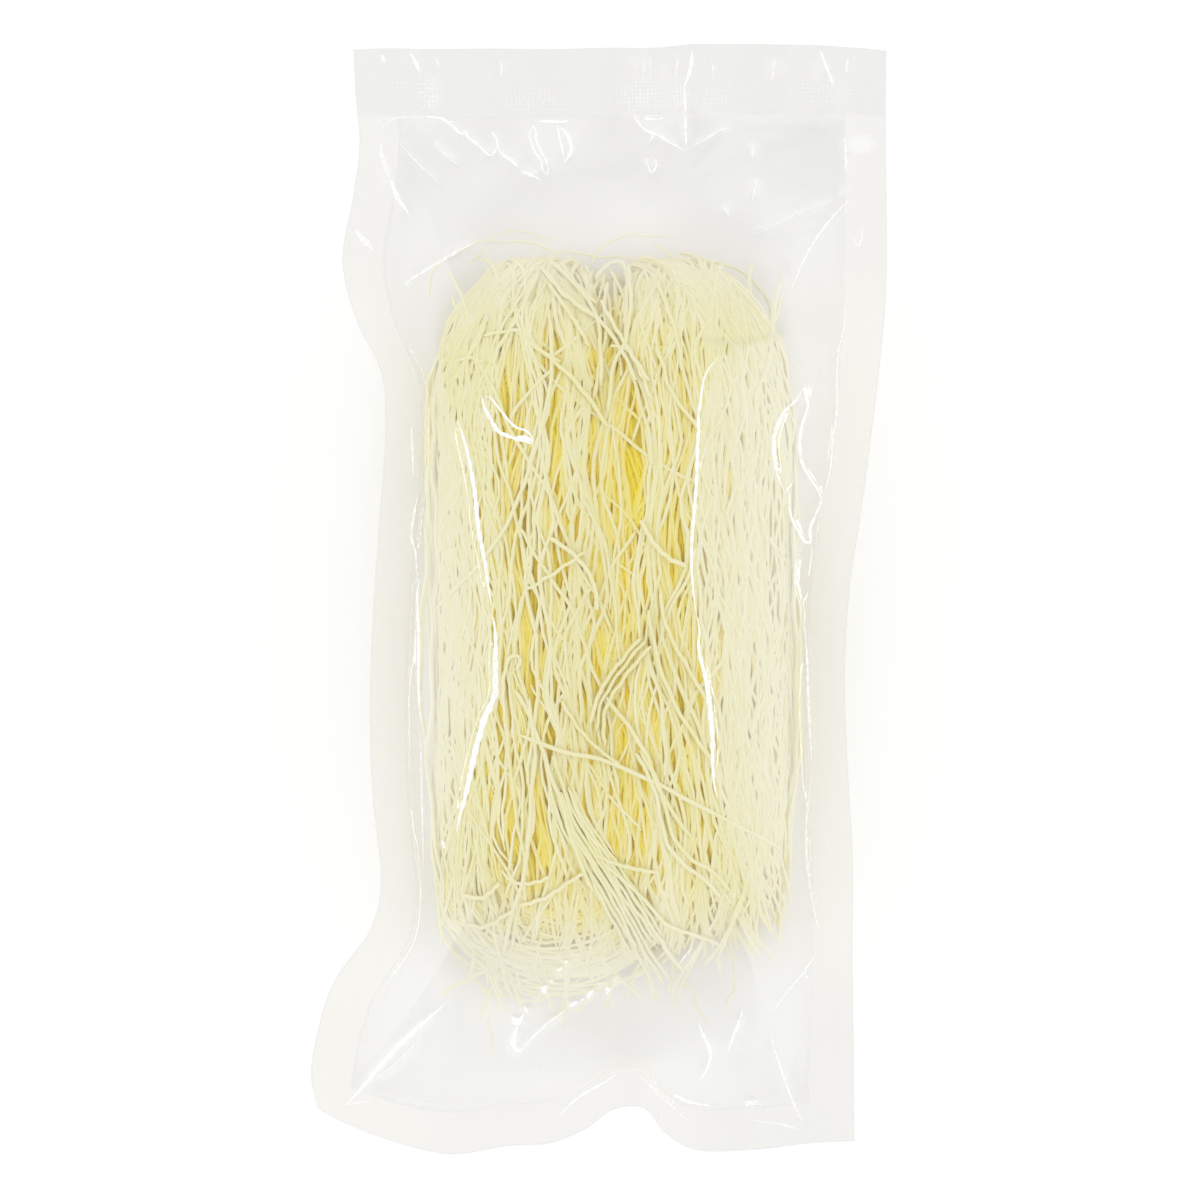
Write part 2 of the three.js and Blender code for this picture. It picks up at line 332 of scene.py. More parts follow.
def find_on_sheet(x, y, steps=14):
    """The u and v of places on the table, found by walking towards them."""
    u, v = np.full(x.shape, 0.5), np.full(x.shape, 0.5)
    for _ in range(steps):
        p = sheet(np.clip(u, 0, 1), np.clip(v, 0, 1))
        u = np.clip(u + (x - p[..., 0]) / FLAT_WIDTH, -0.1, 1.1)
        v = np.clip(v + (y - p[..., 1]) / FLAT_LENGTH, -0.1, 1.1)
    return u, v


print(f"the bag's middle lies at {np.round(sheet(0.5, 0.5), 1)} mm")

# %% [markdown]
# ## How the films lie
#
# A film that is held by its welds and lies over something settles as a drumhead does: each point is
# pulled to the mean of its neighbours unless something holds it up. A cloth simulation could do this
# too, but film hardly stretches and its few long creases are placed, not found. It is worked out on a
# raster of half a millimetre, which covers the whole bag.

# %% A raster over the bag
CELL = 0.5
RASTER_HALF_WIDTH, RASTER_HALF_LENGTH = 66, 125
grid_x = np.arange(-RASTER_HALF_WIDTH, RASTER_HALF_WIDTH + CELL / 2, CELL)
grid_y = np.arange(-RASTER_HALF_LENGTH, RASTER_HALF_LENGTH + CELL / 2, CELL)
X, Y = np.meshgrid(grid_x, grid_y)
U, V = find_on_sheet(X, Y)
weld_z = sheet(np.clip(U, 0, 1), np.clip(V, 0, 1))[..., 2]
in_pouch = (
    (U > SIDE_WELD / FLAT_WIDTH) & (U < 1 - SIDE_WELD / FLAT_WIDTH)
    & (V > FOOT_WELD / FLAT_LENGTH) & (V < 1 - HEAD_WELD / FLAT_LENGTH)
)


def smooth_step(value):
    """0 up to 0, 1 from 1, and a soft S between."""
    t = np.clip(value, 0, 1)
    return t * t * (3 - 2 * t)


def between(field, row, column):
    """A raster's values at rows and columns that may lie between its own."""
    j = np.minimum(row.astype(int), field.shape[0] - 2)
    i = np.minimum(column.astype(int), field.shape[1] - 2)
    b, a = row - j, column - i
    low = field[j, i] * (1 - a) + field[j, i + 1] * a
    high = field[j + 1, i] * (1 - a) + field[j + 1, i + 1] * a
    return low * (1 - b) + high * b


def look_up(field, x, y):
    """A raster's values at places in millimetres."""
    column = np.clip((x - grid_x[0]) / CELL, 0, len(grid_x) - 1.001)
    row = np.clip((y - grid_y[0]) / CELL, 0, len(grid_y) - 1.001)
    return between(field, row, column)


def values_at(field, points):
    """A raster's values under an array of points."""
    return look_up(field, points[..., 0], points[..., 1])


def blur(field, millimetres):
    """The field smoothed by three box means of about that reach."""
    n = max(int(round(millimetres / CELL)) | 1, 1)
    for axis in (0, 1):
        for _ in range(3):
            margins = [(n // 2 + 1, n // 2) if k == axis else (0, 0) for k in (0, 1)]
            total = np.cumsum(np.pad(field, margins, "edge"), axis)
            upper = np.take(total, range(n, total.shape[axis]), axis)
            field = (upper - np.take(total, range(total.shape[axis] - n), axis)) / n
    return field


print(f"raster of {X.shape[1]} by {X.shape[0]} places, {in_pouch.mean():.0%} of it in the pouch")

# %% [markdown]
# Pulling each point to its neighbours' mean moves a height by one cell a sweep, which would be slow
# on a fine raster. So a coarse raster settles first, and each finer one starts from it. Each sweep
# moves every other point and goes a little past the mean, which settles sooner.

# %% The drumhead
OVERSHOOT = 1.8
SWEEPS = 320


def drumhead(held_at, free, over, under=None):
    """Heights of a film fixed at held_at where it isn't free, kept over and under the given heights."""
    z = held_at.copy()
    for step in (8, 4, 2, 1):
        part = np.s_[::step, ::step]
        coarse, can_move = z[part].copy(), free[part][1:-1, 1:-1]
        rows, columns = np.indices(can_move.shape)
        for sweep in range(SWEEPS):
            mine = can_move & ((rows + columns) % 2 == sweep % 2)
            mean = (coarse[1:-1, :-2] + coarse[1:-1, 2:] + coarse[:-2, 1:-1] + coarse[2:, 1:-1]) / 4
            moved = coarse[1:-1, 1:-1] + OVERSHOOT * (mean - coarse[1:-1, 1:-1])
            moved = np.maximum(moved, over[part][1:-1, 1:-1])
            if under is not None:
                moved = np.minimum(moved, under[part][1:-1, 1:-1])
            coarse[1:-1, 1:-1] = np.where(mine, moved, coarse[1:-1, 1:-1])
        if step > 1:
            row, column = (
                np.interp(np.arange(z.shape[k]), np.arange(0, z.shape[k], step), np.arange(coarse.shape[k]))
                for k in (0, 1)
            )
            z = np.where(free, between(coarse, row[:, None], column[None, :]), held_at)
    return coarse


# %% [markdown]
# The upper film lies over the hank, over two taut lines on its shoulders, and over the folds that run
# from the corners to the shoulders. The hank is a flattened cushion, 84 mm wide, 164 mm long and
# 28 mm high, with a furrow between its two legs. A taut line is a path with heights, and a roof that
# falls away steeply on both sides, so that the film bends over it.

# %% What the upper film lies on
HANK_X, HANK_Y, HANK_HALF_WIDTH, HANK_HALF_LENGTH, HANK_HEIGHT = 2.5, -1.0, 42.0, 82.0, 28.5
FURROW_X = 1.5


def cushion(x, y, furrow=2.2, furrow_width=7.0, height=HANK_HEIGHT):
    """Height of the hank's upper side above the table."""
    across = np.clip(np.abs((x - HANK_X) / HANK_HALF_WIDTH), 0, 1)
    along = np.clip(np.abs((y - HANK_Y) / HANK_HALF_LENGTH), 0, 1)
    rise = (1 - across**2.4) ** 0.55 * (1 - along**3.2) ** 0.6
    return rise * (height - furrow * np.exp(-(((x - FURROW_X) / furrow_width) ** 2)))


def along_path(x, y, path):
    """For each place, how far it is from a path, and how far along the path it is, from 0 to 1."""
    path = np.asarray(path, float)
    lengths = np.linalg.norm(np.diff(path[:, :2], axis=0), axis=1)
    starts = np.concatenate([[0], np.cumsum(lengths)])
    best, share = np.full(np.shape(x), 1e9), np.zeros(np.shape(x))
    for k, length in enumerate(lengths):
        (ax, ay), (bx, by) = path[k, :2], path[k + 1, :2]
        t = np.clip(((x - ax) * (bx - ax) + (y - ay) * (by - ay)) / length**2, 0, 1)
        d = np.hypot(x - ax - t * (bx - ax), y - ay - t * (by - ay))
        nearer = d < best
        best = np.where(nearer, d, best)
        share = np.where(nearer, (starts[k] + t * length) / starts[-1], share)
    return best, share


def roof(path, slope):
    """A ridge with heights along a path [x, y, z], falling away on both sides."""
    path = np.asarray(path, float)
    distance, share = along_path(X, Y, path)
    lengths = np.concatenate([[0], np.cumsum(np.linalg.norm(np.diff(path[:, :2], axis=0), axis=1))])
    return np.interp(share, lengths / lengths[-1], path[:, 2]) - slope * distance


# %% [markdown]
# The folds are paths in millimetres, and the shoulder lines were read off the photograph, in pixels.
# Each shoulder line stands up to 1.4 mm above the hank. The lower film is the same sheet pressed down
# on the table, flat over the patch that the hank's weight bears on.

# %% Folds, shoulder lines and both films at rest
FOLDS = [
    [[50.0, 88.0, 4.0], [42.0, 73.0, 12.5], [30.0, 52.0, 19.6]],
    [[-42.0, 98.0, 4.0], [-35.0, 78.0, 11.5], [-25.0, 54.0, 18.6]],
    [[-52.0, -103.0, 3.0], [-40.0, -88.0, 10.0], [-24.0, -62.0, 17.4]],
    [[43.0, -107.0, 2.5], [36.0, -90.0, 9.5], [27.0, -62.0, 18.0]],
    [[6.0, -101.0, 9.5], [8.0, -90.0, 11.0], [9.0, -74.0, 15.5]],
    [[19.0, 105.0, 4.5], [17.0, 95.0, 7.5], [14.0, 78.0, 10.5]],
    [[-35.0, 105.0, 4.0], [-22.0, 98.0, 7.2], [-10.0, 88.0, 9.0]],
]
LEFT_SHOULDER = [
    (452, 410), (468, 450), (480, 520), (490, 580), (497, 660),
    (494, 700), (480, 740), (470, 780), (456, 830),
]
RIGHT_SHOULDER = [
    (720, 355), (703, 375), (697, 450), (693, 520), (691, 560),
    (698, 640), (710, 720), (712, 770), (717, 795),
]
FOLD_SLOPE, SHOULDER_SLOPE, SHOULDER_LIFT, SHOULDER_HEIGHT = 0.9, 1.2, 1.4, 25.0
PATCH_HALF_WIDTH, PATCH_HALF_LENGTH = 27.0, 62.0

hank_top = cushion(X, Y)
held_up = hank_top.copy()
for fold in FOLDS:
    held_up = np.maximum(held_up, roof(fold, FOLD_SLOPE))
for shoulder in (LEFT_SHOULDER, RIGHT_SHOULDER):
    line = on_table(shoulder, SHOULDER_HEIGHT)
    arch = np.sin(np.linspace(0.15, 0.85, len(line)) * math.pi)
    lift = values_at(hank_top, line) + SHOULDER_LIFT * arch
    held_up = np.maximum(held_up, roof(np.column_stack([line, lift]), SHOULDER_SLOPE))
film_rest = drumhead(weld_z, in_pouch, over=held_up)

dx = np.maximum(np.abs(X - HANK_X) - PATCH_HALF_WIDTH, 0)
dy = np.maximum(np.abs(Y - HANK_Y) - PATCH_HALF_LENGTH, 0)
pressed_flat = np.where(np.hypot(dx, dy) <= CELL, 0.0, 1e3)
lower_z = drumhead(weld_z, in_pouch, over=np.zeros_like(X), under=pressed_flat)
print(f"upper film reaches {film_rest.max():.1f} mm, lower film {lower_z[in_pouch].max():.1f} mm")

# %% [markdown]
# ## The noodles
#
# Starch vermicelli is spun as endless strands, dried on rods and folded into a hank. Each strand runs
# up one leg of the hank, turns over at the head and comes back underneath. Here a strand is a row of
# points that a thin tube follows, and many strands are worked out at once, as arrays of strands by
# points. What bounds them comes first: the lower film under them, and over them the upper film or,
# where that is lower, a heap with a deep furrow. A strand's height is a share of the way down.

# %% The space that the hank fills
STRAND_RADIUS = 0.46
OFF_LOWER_FILM, OFF_UPPER_FILM, LEAST_HEIGHT = 0.3, 0.25, 0.4
HEAP_FURROW, HEAP_FURROW_WIDTH, HEAP_LOWER_BY = 4.8, 8.5, 0.4

floor_of_hank = lower_z + OFF_LOWER_FILM + STRAND_RADIUS
ceiling_of_hank = film_rest - OFF_UPPER_FILM - STRAND_RADIUS
heap = cushion(X, Y, HEAP_FURROW, HEAP_FURROW_WIDTH, HANK_HEIGHT - HEAP_LOWER_BY)
noodle_top = np.maximum(np.minimum(ceiling_of_hank, heap - STRAND_RADIUS), floor_of_hank + LEAST_HEIGHT)
room = blur(np.where(in_pouch, film_rest - lower_z, 0.0), 2.0)
room_slope_y, room_slope_x = np.gradient(room, CELL)


def settle(x, y, depth):
    """Height of a strand at a share of the way down from the hank's top to its underside."""
    top, bottom = look_up(noodle_top, x, y), look_up(floor_of_hank, x, y)
    return top - depth * np.maximum(top - bottom, 0)


print(f"the noodles reach {noodle_top[in_pouch].max():.1f} mm, strands {2 * STRAND_RADIUS:.2f} mm thick")

# %% [markdown]
# Dried in a bundle, strands wave a little and carry a few sharp kinks. Real waves are never regular,
# so each strand sums a few sine waves with lengths, phases and heights of its own, and its kinks are
# low triangles at random places. All random numbers come from one seeded generator, so that the hank
# is the same each time.

# %% Waves and kinks
rng = np.random.default_rng(104)


def each(n, low, high):
    """A column of n random numbers from low to high, as one for each strand."""
    return rng.uniform(low, high, (n, 1))


def scatter(n, deviation):
    """A column of n random numbers about zero, as one for each strand."""
    return rng.normal(0, deviation, (n, 1))


def waves(n, *bands):
    """Sideways waves of n strands as a function of the run, each band (shortest, longest, height)."""
    parts = [
        (each(n, low, high), each(n, 0, 2 * math.pi), height * each(n, 0.5, 1.3))
        for low, high, height in bands
    ]

    def at(run, who=slice(None)):
        return sum(h[who] * np.sin(2 * math.pi * run / size[who] + phase[who]) for size, phase, h in parts)

    return at


def kinks(n, count, reach, height):
    """Sharp sideways bends of n strands, each a low triangle somewhere along the strand."""
    parts = [(each(n, -80, 80), each(n, *reach), each(n, -height, height)) for _ in range(count)]
    return lambda run: sum(h * np.clip(1 - np.abs(run - place) / width, 0, 1) for place, width, h in parts)


# %% [markdown]
# The films hold the hank together. Strands that would run past its sides are bent back in, a little
# differently each, so that the flank looks combed and not cut. The hank is narrower towards the foot
# and at the right of the head. Points too near a weld walk towards where the films stand further
# apart, and last every point is put between the two films.

# %% Keep the strands inside
EDGE_MARGIN, EDGE_UNEVEN = 4.2, 3.4
FOOT_NARROWER, RIGHT_HEAD_NARROWER = 2.6, 2.5
SIDE_CRUSH, HEAD_CRUSH = 4, 6
LEAST_ROOM, LONGEST_STEP, STEPS = 2.6, 2.5, 5


def keep_inside(paths, top_end=82.0):
    """Moves strand points in to the hank's width and from the welds, and back between the films."""
    n = len(paths)
    x, y = paths[..., 0], paths[..., 1]
    room_to_edge = HANK_HALF_WIDTH - EDGE_MARGIN - each(n, 0, EDGE_UNEVEN)
    room_to_edge = room_to_edge + waves(n, (35, 80, 1.0), (14, 24, 0.4))(y)
    at_foot, at_head = np.clip((-35 - y) / 25, 0, 1), np.clip((y - 38) / 20, 0, 1)
    room_to_edge -= FOOT_NARROWER * at_foot + RIGHT_HEAD_NARROWER * at_head * (x > HANK_X)
    past = np.clip(np.abs(x - HANK_X) - room_to_edge, 0, None)
    x = x - np.sign(x - HANK_X) * (past - SIDE_CRUSH * np.tanh(past / SIDE_CRUSH))
    past = np.clip(y - top_end + HEAD_CRUSH, 0, None)
    y = y - past + HEAD_CRUSH * np.tanh(past / HEAD_CRUSH)
    for _ in range(STEPS):
        gx, gy = look_up(room_slope_x, x, y), look_up(room_slope_y, x, y)
        short = np.clip(LEAST_ROOM - look_up(room, x, y), 0, None)
        slope = np.hypot(gx, gy)
        step = np.minimum(short / (slope + 0.05), LONGEST_STEP) / (slope + 1e-6)
        x, y = x + gx * step, y + gy * step
    low, high = look_up(floor_of_hank, x, y), look_up(ceiling_of_hank, x, y)
    return np.stack([x, y, np.clip(paths[..., 2], low, np.maximum(high, low))], -1)


# %% [markdown]
# A strand's points become a tube. Blender's own bevelled curves could do it, but thousands of them are
# slow. Here a ring of points is set square to the strand at each of its points. The rings are carried
# along without twisting, and their girth varies a little. Four to six sides are enough for something
# 0.9 mm thick.

# %% Tubes along strands
def unit(vectors):
    """The vectors at length one."""
    return vectors / (np.linalg.norm(vectors, axis=-1, keepdims=True) + 1e-12)


def faces_between_rings(index):
    """Faces of a tube from the numbers of its points, ring by ring."""
    following = np.roll(index, -1, axis=-1)
    near, far = np.s_[..., :-1, :], np.s_[..., 1:, :]
    return np.stack([index[near], following[near], following[far], index[far]], -1).reshape(-1, 4)


def tubes(paths, sides, thickness):
    """Points, faces and end caps of tubes along strands: paths is (strands, points, 3)."""
    n, m, _ = paths.shape
    tangent = unit(np.gradient(paths, axis=1))
    normal = np.zeros_like(paths)
    start = np.cross(tangent[:, 0], [0.0, 0.0, 1.0]) + 1e-6
    normal[:, 0] = start / np.linalg.norm(start, axis=-1, keepdims=True)
    for k in range(1, m):
        before, ahead = normal[:, k - 1], tangent[:, k]
        normal[:, k] = unit(before - ahead * np.sum(before * ahead, -1, keepdims=True))
    other = np.cross(tangent, normal)
    angle = np.linspace(0, 2 * math.pi, sides, endpoint=False)[:, None]
    girth = thickness * STRAND_RADIUS * each(n, 0.84, 1.12) * (1 + 0.05 * rng.standard_normal((n, m)))
    girth[:, [0, -1]] *= 0.45
    ring = np.cos(angle) * normal[:, :, None] + np.sin(angle) * other[:, :, None]
    points = paths[:, :, None] + girth[:, :, None, None] * ring
    index = np.arange(n * m * sides).reshape(n, m, sides)
    return points.reshape(-1, 3), faces_between_rings(index), np.vstack([index[:, 0, ::-1], index[:, -1]])


# %% [markdown]
# ## The noodles' colour and painted bounce light
#
# The noodle itself is pale straw yellow, a little translucent and dull. What makes the gaps of the
# hank golden is light that has bounced from noodle to noodle, and each bounce keeps more red than
# blue. The render's own bounces give a part of that, and painted bounce light in the noodles' colour
# gives the rest. So each point knows how far inside the hank it is, and how golden the hank is there:
# most in its middle, less towards its outline, where light gets in.

# %% How golden a place in the hank is
GOLD_STARTS, GOLD_WITHIN, LEAST_GOLD = 0.12, 0.9, 0.32
SEEN_HALF_WIDTH, SEEN_TO_HEAD, SEEN_TO_FOOT, SQUARENESS = 40.0, 77.0, 90.0, 2.6


def towards_outline(x, y):
    """0 in the middle of the hank seen from above, 1 at its outline, more outside."""
    half_length = np.where(y > HANK_Y, SEEN_TO_HEAD, SEEN_TO_FOOT)
    across, along = np.abs((x - HANK_X) / SEEN_HALF_WIDTH), np.abs((y - HANK_Y) / half_length)
    return across**SQUARENESS + along**SQUARENESS


def golden_middle(x, y):
    """1 in the middle of the hank seen from above, less towards its outline."""
    return LEAST_GOLD + (1 - LEAST_GOLD) * np.clip((0.68 - towards_outline(x, y)) / 0.2, 0, 1)


def painted_bounce_gold(points):
    """Painted bounce gold: 0 at the hank's top and underside, up to golden_middle from about 1 mm in."""
    x, y, z = points.T
    top = look_up(noodle_top, x, y)
    down = top - z + 0.06 * (cushion(x, y, furrow=0.5) - top)
    nearest = np.minimum(down, z - look_up(floor_of_hank, x, y))
    return np.clip((nearest - GOLD_STARTS) / GOLD_WITHIN, 0, 1) * golden_middle(x, y)


# %% [markdown]
# Strands differ a little in tone and change along their length, and each has fine chalky specks and
# lengthwise grain. The tone is an attribute, the specks and the grain are noise drawn out along the
# bag. A small translucent share lets light glow through. The gold of painted bounce light is mixed
# into the colour, and the strands packed in the middle of the hank get a darker gold, which is
# painted shade as well.

# %% Noodle materials
# The golds below are painted bounce light. The packed gold is darker still, which is painted shade.
DEEP_STRAW, PALE_STRAW, CHALK = (0.915, 0.872, 0.49, 1), (0.935, 0.902, 0.60, 1), (0.92, 0.91, 0.80, 1)
BOUNCE_GOLD, PACKED_SHADE_GOLD = (0.97, 0.82, 0.02, 1), (0.80, 0.66, 0.03, 1)
TRANSLUCENT_SHARE = 0.08


def noodle_material(name, gold):
    """Dry starch noodle, which turns to the given gold inside the hank, as painted bounce light."""
    material, tree = new_material(name)
    place = node(tree, "TexCoord")
    tone = node(tree, "Attribute", attribute_name="tone")
    inside = node(tree, "Attribute", attribute_name="painted_bounce_gold")
    grain_space = node(tree, "Mapping", {"Vector": place.outputs["Object"], "Scale": (1.0, 0.2, 1.0)})
    grain = node(tree, "TexNoise", {"Vector": grain_space.outputs[0], "Scale": 1500.0, "Detail": 0.0})
    pale = node(tree, "ValToRGB", {"Fac": tone.outputs["Fac"]})
    for element, colour in zip(pale.color_ramp.elements, (DEEP_STRAW, PALE_STRAW)):
        element.color = colour
    specks = {"Value": grain.outputs[0], "From Min": 0.68, "From Max": 0.80, "To Max": 0.6}
    chalk = node(tree, "MapRange", specks)
    chalky = node(tree, "MixRGB", {"Fac": chalk.outputs[0], 1: pale.outputs[0], 2: CHALK})
    golden = node(tree, "MixRGB", {"Fac": inside.outputs["Fac"], 1: chalky.outputs[0], 2: gold})
    rough = node(tree, "MapRange", {"Value": grain.outputs[0], "To Min": 0.36, "To Max": 0.62})
    bump = node(tree, "Bump", {"Height": grain.outputs[0], "Strength": 0.12, "Distance": 0.0001})
    skin = node(tree, "BsdfPrincipled", {
        "Base Color": golden.outputs[0], "Roughness": rough.outputs[0], "Normal": bump.outputs[0],
        "IOR": 1.5, "Specular IOR Level": 0.25,
    })
    glow = node(tree, "BsdfTranslucent", {"Color": golden.outputs[0]})
    shader = node(tree, "MixShader", {0: TRANSLUCENT_SHARE, 1: skin.outputs[0], 2: glow.outputs[0]})
    node(tree, "OutputMaterial", {"Surface": shader.outputs[0]})
    return material


noodle = noodle_material("dry_vermicelli", BOUNCE_GOLD)
# The packed material's darker gold is painted shade for the tight middle of the hank.
shaded_packed_noodle = noodle_material("packed_vermicelli_painted_shade", PACKED_SHADE_GOLD)
print("noodle materials:", noodle.name, shaded_packed_noodle.name)

# %% [markdown]
# ### The tight middle
#
# Between the two legs and the underside the strands lie so tight that only their backs can be seen,
# in the gaps between the outer strands. Tubes all the way through would take millions of faces, so the
# middle is one closed form, ribbed by the strands that lie in it. It keeps 1.2 mm inside the hank, and
# its lower side rises towards the outline, where the outer strands alone close the hank.

# %% Core of the hank
CORE_Y, CORE_HALF_LENGTH, CORE_NARROWER = -5.0, 72.0, 3.5
CORE_INSET, RIB_HEIGHT, RIB_PITCH, HOLLOW = 1.2, 0.3, 1.0, 9.0
CORE_ROWS, CORE_COLUMNS = 110, 260


def hank_core():
    """The tight middle of the hank as one closed form."""
    y = CORE_Y + CORE_HALF_LENGTH * np.sin(np.linspace(-0.5, 0.5, CORE_ROWS) * math.pi)[:, None]
    narrowing = np.clip(1 - np.abs((y - CORE_Y) / CORE_HALF_LENGTH) ** 3.2, 0.0002, 1) ** 0.36
    half_width = (HANK_HALF_WIDTH - CORE_NARROWER) * narrowing
    x = HANK_X + half_width * np.cos(np.linspace(0, math.pi, CORE_COLUMNS))[None]
    y = y + 0 * x
    top, bottom = look_up(noodle_top, x, y), look_up(floor_of_hank, x, y)
    middle = (top + bottom) / 2
    wander = 0.8 * np.sin(y / 9) + 0.5 * np.sin(y / 4 + x / 3)
    ribs = RIB_HEIGHT * np.sin(2 * math.pi * (x + wander) / RIB_PITCH)
    hollow = HOLLOW * np.clip((towards_outline(x, y) - 0.5) / 0.4, 0, 1)
    upper = np.maximum(top - CORE_INSET + ribs, middle)
    lower = np.minimum(bottom + CORE_INSET + ribs + hollow, middle)
    rings = np.concatenate([np.stack([x, y, upper], -1), np.stack([x, y, lower], -1)[:, -2:0:-1]], 1)
    index = np.arange(rings.shape[0] * rings.shape[1]).reshape(rings.shape[:2])
    caps = [index[0, ::-1][None], index[-1][None]]
    points = rings.reshape(-1, 3)
    faces = faces_between_rings(index)
    # The core wears the packed material, whose darker gold is painted shade, with the full painted bounce
    # gold.
    core = make_piece("hank_core", points, faces, shaded_packed_noodle, smooth=False, extra_faces=caps)
    vertex_value(core, "tone", 0.5 + 0.4 * np.sin(points[:, 0] * 1.7 + points[:, 1] / 8))
    vertex_value(core, "painted_bounce_gold", golden_middle(points[:, 0], points[:, 1]))


hank_core()

# %% [markdown]
# ### The two legs
#
# From above, each leg fans out below a rounded head: the outer strands leave the crown in a wide arc
# and the inner ones nearly straight. A superellipse gives that arc. Strands stick together in small
# clumps, and a clump waves and leans as one. A strand runs up the leg at its own depth, dips to half
# height round the crown, and comes back underneath at the same depth from below.

# %% Strands of a leg
ARC_FULLNESS = 2.1
STRANDS_IN_CLUMP, CLUMP_SPREAD = 5, 0.045
CROWN_SPREAD, CROWN_SLANT = 3.6, 3.0
END_UNEVEN, DEEPER_GOES_ON, OUTER_ENDS_SOONER = 5.5, 4.0, 2.5
CLUMP_WAVES = (80, 130, 1.5), (40, 60, 0.8), (18, 28, 0.3)
CLUMP_LEAN, OWN_LEAN, MIDDLE_DRIFT, FOOT_SPLAY = 0.035, 0.022, 4.5, 3.2


def leg(n, crown, middle, half_width, head_y, reach, foot_y, round_foot, depths, even=False, under=True):
    """Paths of n strands that run up a leg, over its head in an arc, and back underneath."""
    clumps = rng.uniform(-1, 1, max(n // STRANDS_IN_CLUMP, 4))
    owner = rng.integers(0, len(clumps), n)
    across = np.clip(clumps[owner] + rng.normal(0, CLUMP_SPREAD, n), -1, 1)[:, None]
    if even:
        across = np.linspace(-1, 1, n)[:, None] + scatter(n, 0.3 / n)
        owner = np.clip(np.searchsorted(np.sort(clumps), across[:, 0]), 0, len(clumps) - 1)
    depth = each(n, *depths)
    crown_x = crown + scatter(n, CROWN_SPREAD) + CROWN_SLANT * across
    out_x = middle + across * half_width
    end = head_y - END_UNEVEN * rng.random((n, 1)) ** 2
    end = end + DEEPER_GOES_ON * depth - OUTER_ENDS_SOONER * np.abs(across)
    arc = reach * (0.35 + 0.65 * np.abs(across)) * each(n, 0.8, 1.2)
    clump_wave = waves(len(clumps), *CLUMP_WAVES)
    wander = 1.0 if even else 1.6
    own_wave = waves(n, (26, 60, 0.9 * wander), (11, 18, 0.26), (5.5, 8, 0.07))
    own_kinks = kinks(n, 4, (4, 15), 1.3 * wander)
    lean = scatter(len(clumps), CLUMP_LEAN)[owner] + scatter(n, OWN_LEAN * wander)
    splay = scatter(n, FOOT_SPLAY)

    def sideways(y):
        """How far strands are off their straight run: waves and kinks, lean, and splayed feet."""
        drift = MIDDLE_DRIFT * (1 - across**2) * np.clip((15 - y) / 70, 0, 1.3) ** 1.5
        spread = splay * np.clip((-46 - y) / 22, 0, 1.5) ** 2
        return clump_wave(y, owner) + own_wave(y) + own_kinks(y) - lean * (y - 40) + drift + spread

    def pass_over(low, deep, run_points, arc_points):
        """One pass of the strands, from their low ends to the crown, at a depth in the hank."""
        y_run = low + (end - arc - low) * np.linspace(0, 1, run_points)[None]
        angle = np.linspace(math.pi / 2, 0, arc_points)[None]
        shape = np.sin(angle) ** (2 / ARC_FULLNESS)
        y_arc = end - arc * (1 - np.cos(angle) ** (2 / ARC_FULLNESS))
        x_arc = crown_x + (out_x - crown_x) * shape + sideways(y_arc) * np.clip(shape * 1.3, 0.15, 1)
        x = np.concatenate([out_x + sideways(y_run), x_arc[:, 1:]], 1)
        y = np.concatenate([y_run, y_arc[:, 1:]], 1)
        dip = np.clip(1 - shape[:, 1:] * 2.2, 0, 1) ** 2 + 0 * y_arc[:, 1:]
        share = deep + (0.5 - deep) * np.concatenate([0 * y_run, dip], 1)
        return np.stack([x, y, settle(x, y, np.clip(share, 0, 1))], -1)

    low = each(n, *foot_y) + round_foot * np.clip(across * np.sign(middle), 0, 1) ** 1.4
    upper = pass_over(low, depth, 32, 12)
    if not under:
        return keep_inside(upper)
    back = pass_over(low + each(n, -1, 9), 1 - depth, 16, 8)[:, -2::-1]
    return keep_inside(np.concatenate([upper, back], 1))


# %% [markdown]
# A leg is two even layers of strands with longer feet, a loose filling under them, and single strands
# on top. Each kind is one group of tubes. The layers and the filling of a leg are joined into one
# piece and the strands on top into another, because thousands of separate objects would be slow and
# hard to reuse.

# %% Both legs
def noodle_piece(name, groups, thickness=1.0):
    """One piece from several groups of strands, each group (paths, sides of the tube)."""
    points, quads, caps, shade, base = [], [], {}, [], 0
    for paths, sides in groups:
        p, q, c = tubes(paths, sides, thickness)
        points.append(p)
        quads.append(q + base)
        caps.setdefault(sides, []).append(c + base)
        run = np.linspace(0, 1, paths.shape[1]) * 150
        drift = waves(len(paths), (25, 70, 0.16))(run) + each(len(paths), 0.1, 0.9)
        shade.append(np.repeat(drift.ravel(), sides))
        base += len(p)
    points = np.vstack(points)
    piece = make_piece(
        name, points, np.vstack(quads), noodle,
        smooth=False, extra_faces=[np.vstack(c) for c in caps.values()],
    )
    vertex_value(piece, "tone", np.clip(np.concatenate(shade), 0, 1))
    vertex_value(piece, "painted_bounce_gold", painted_bounce_gold(points))


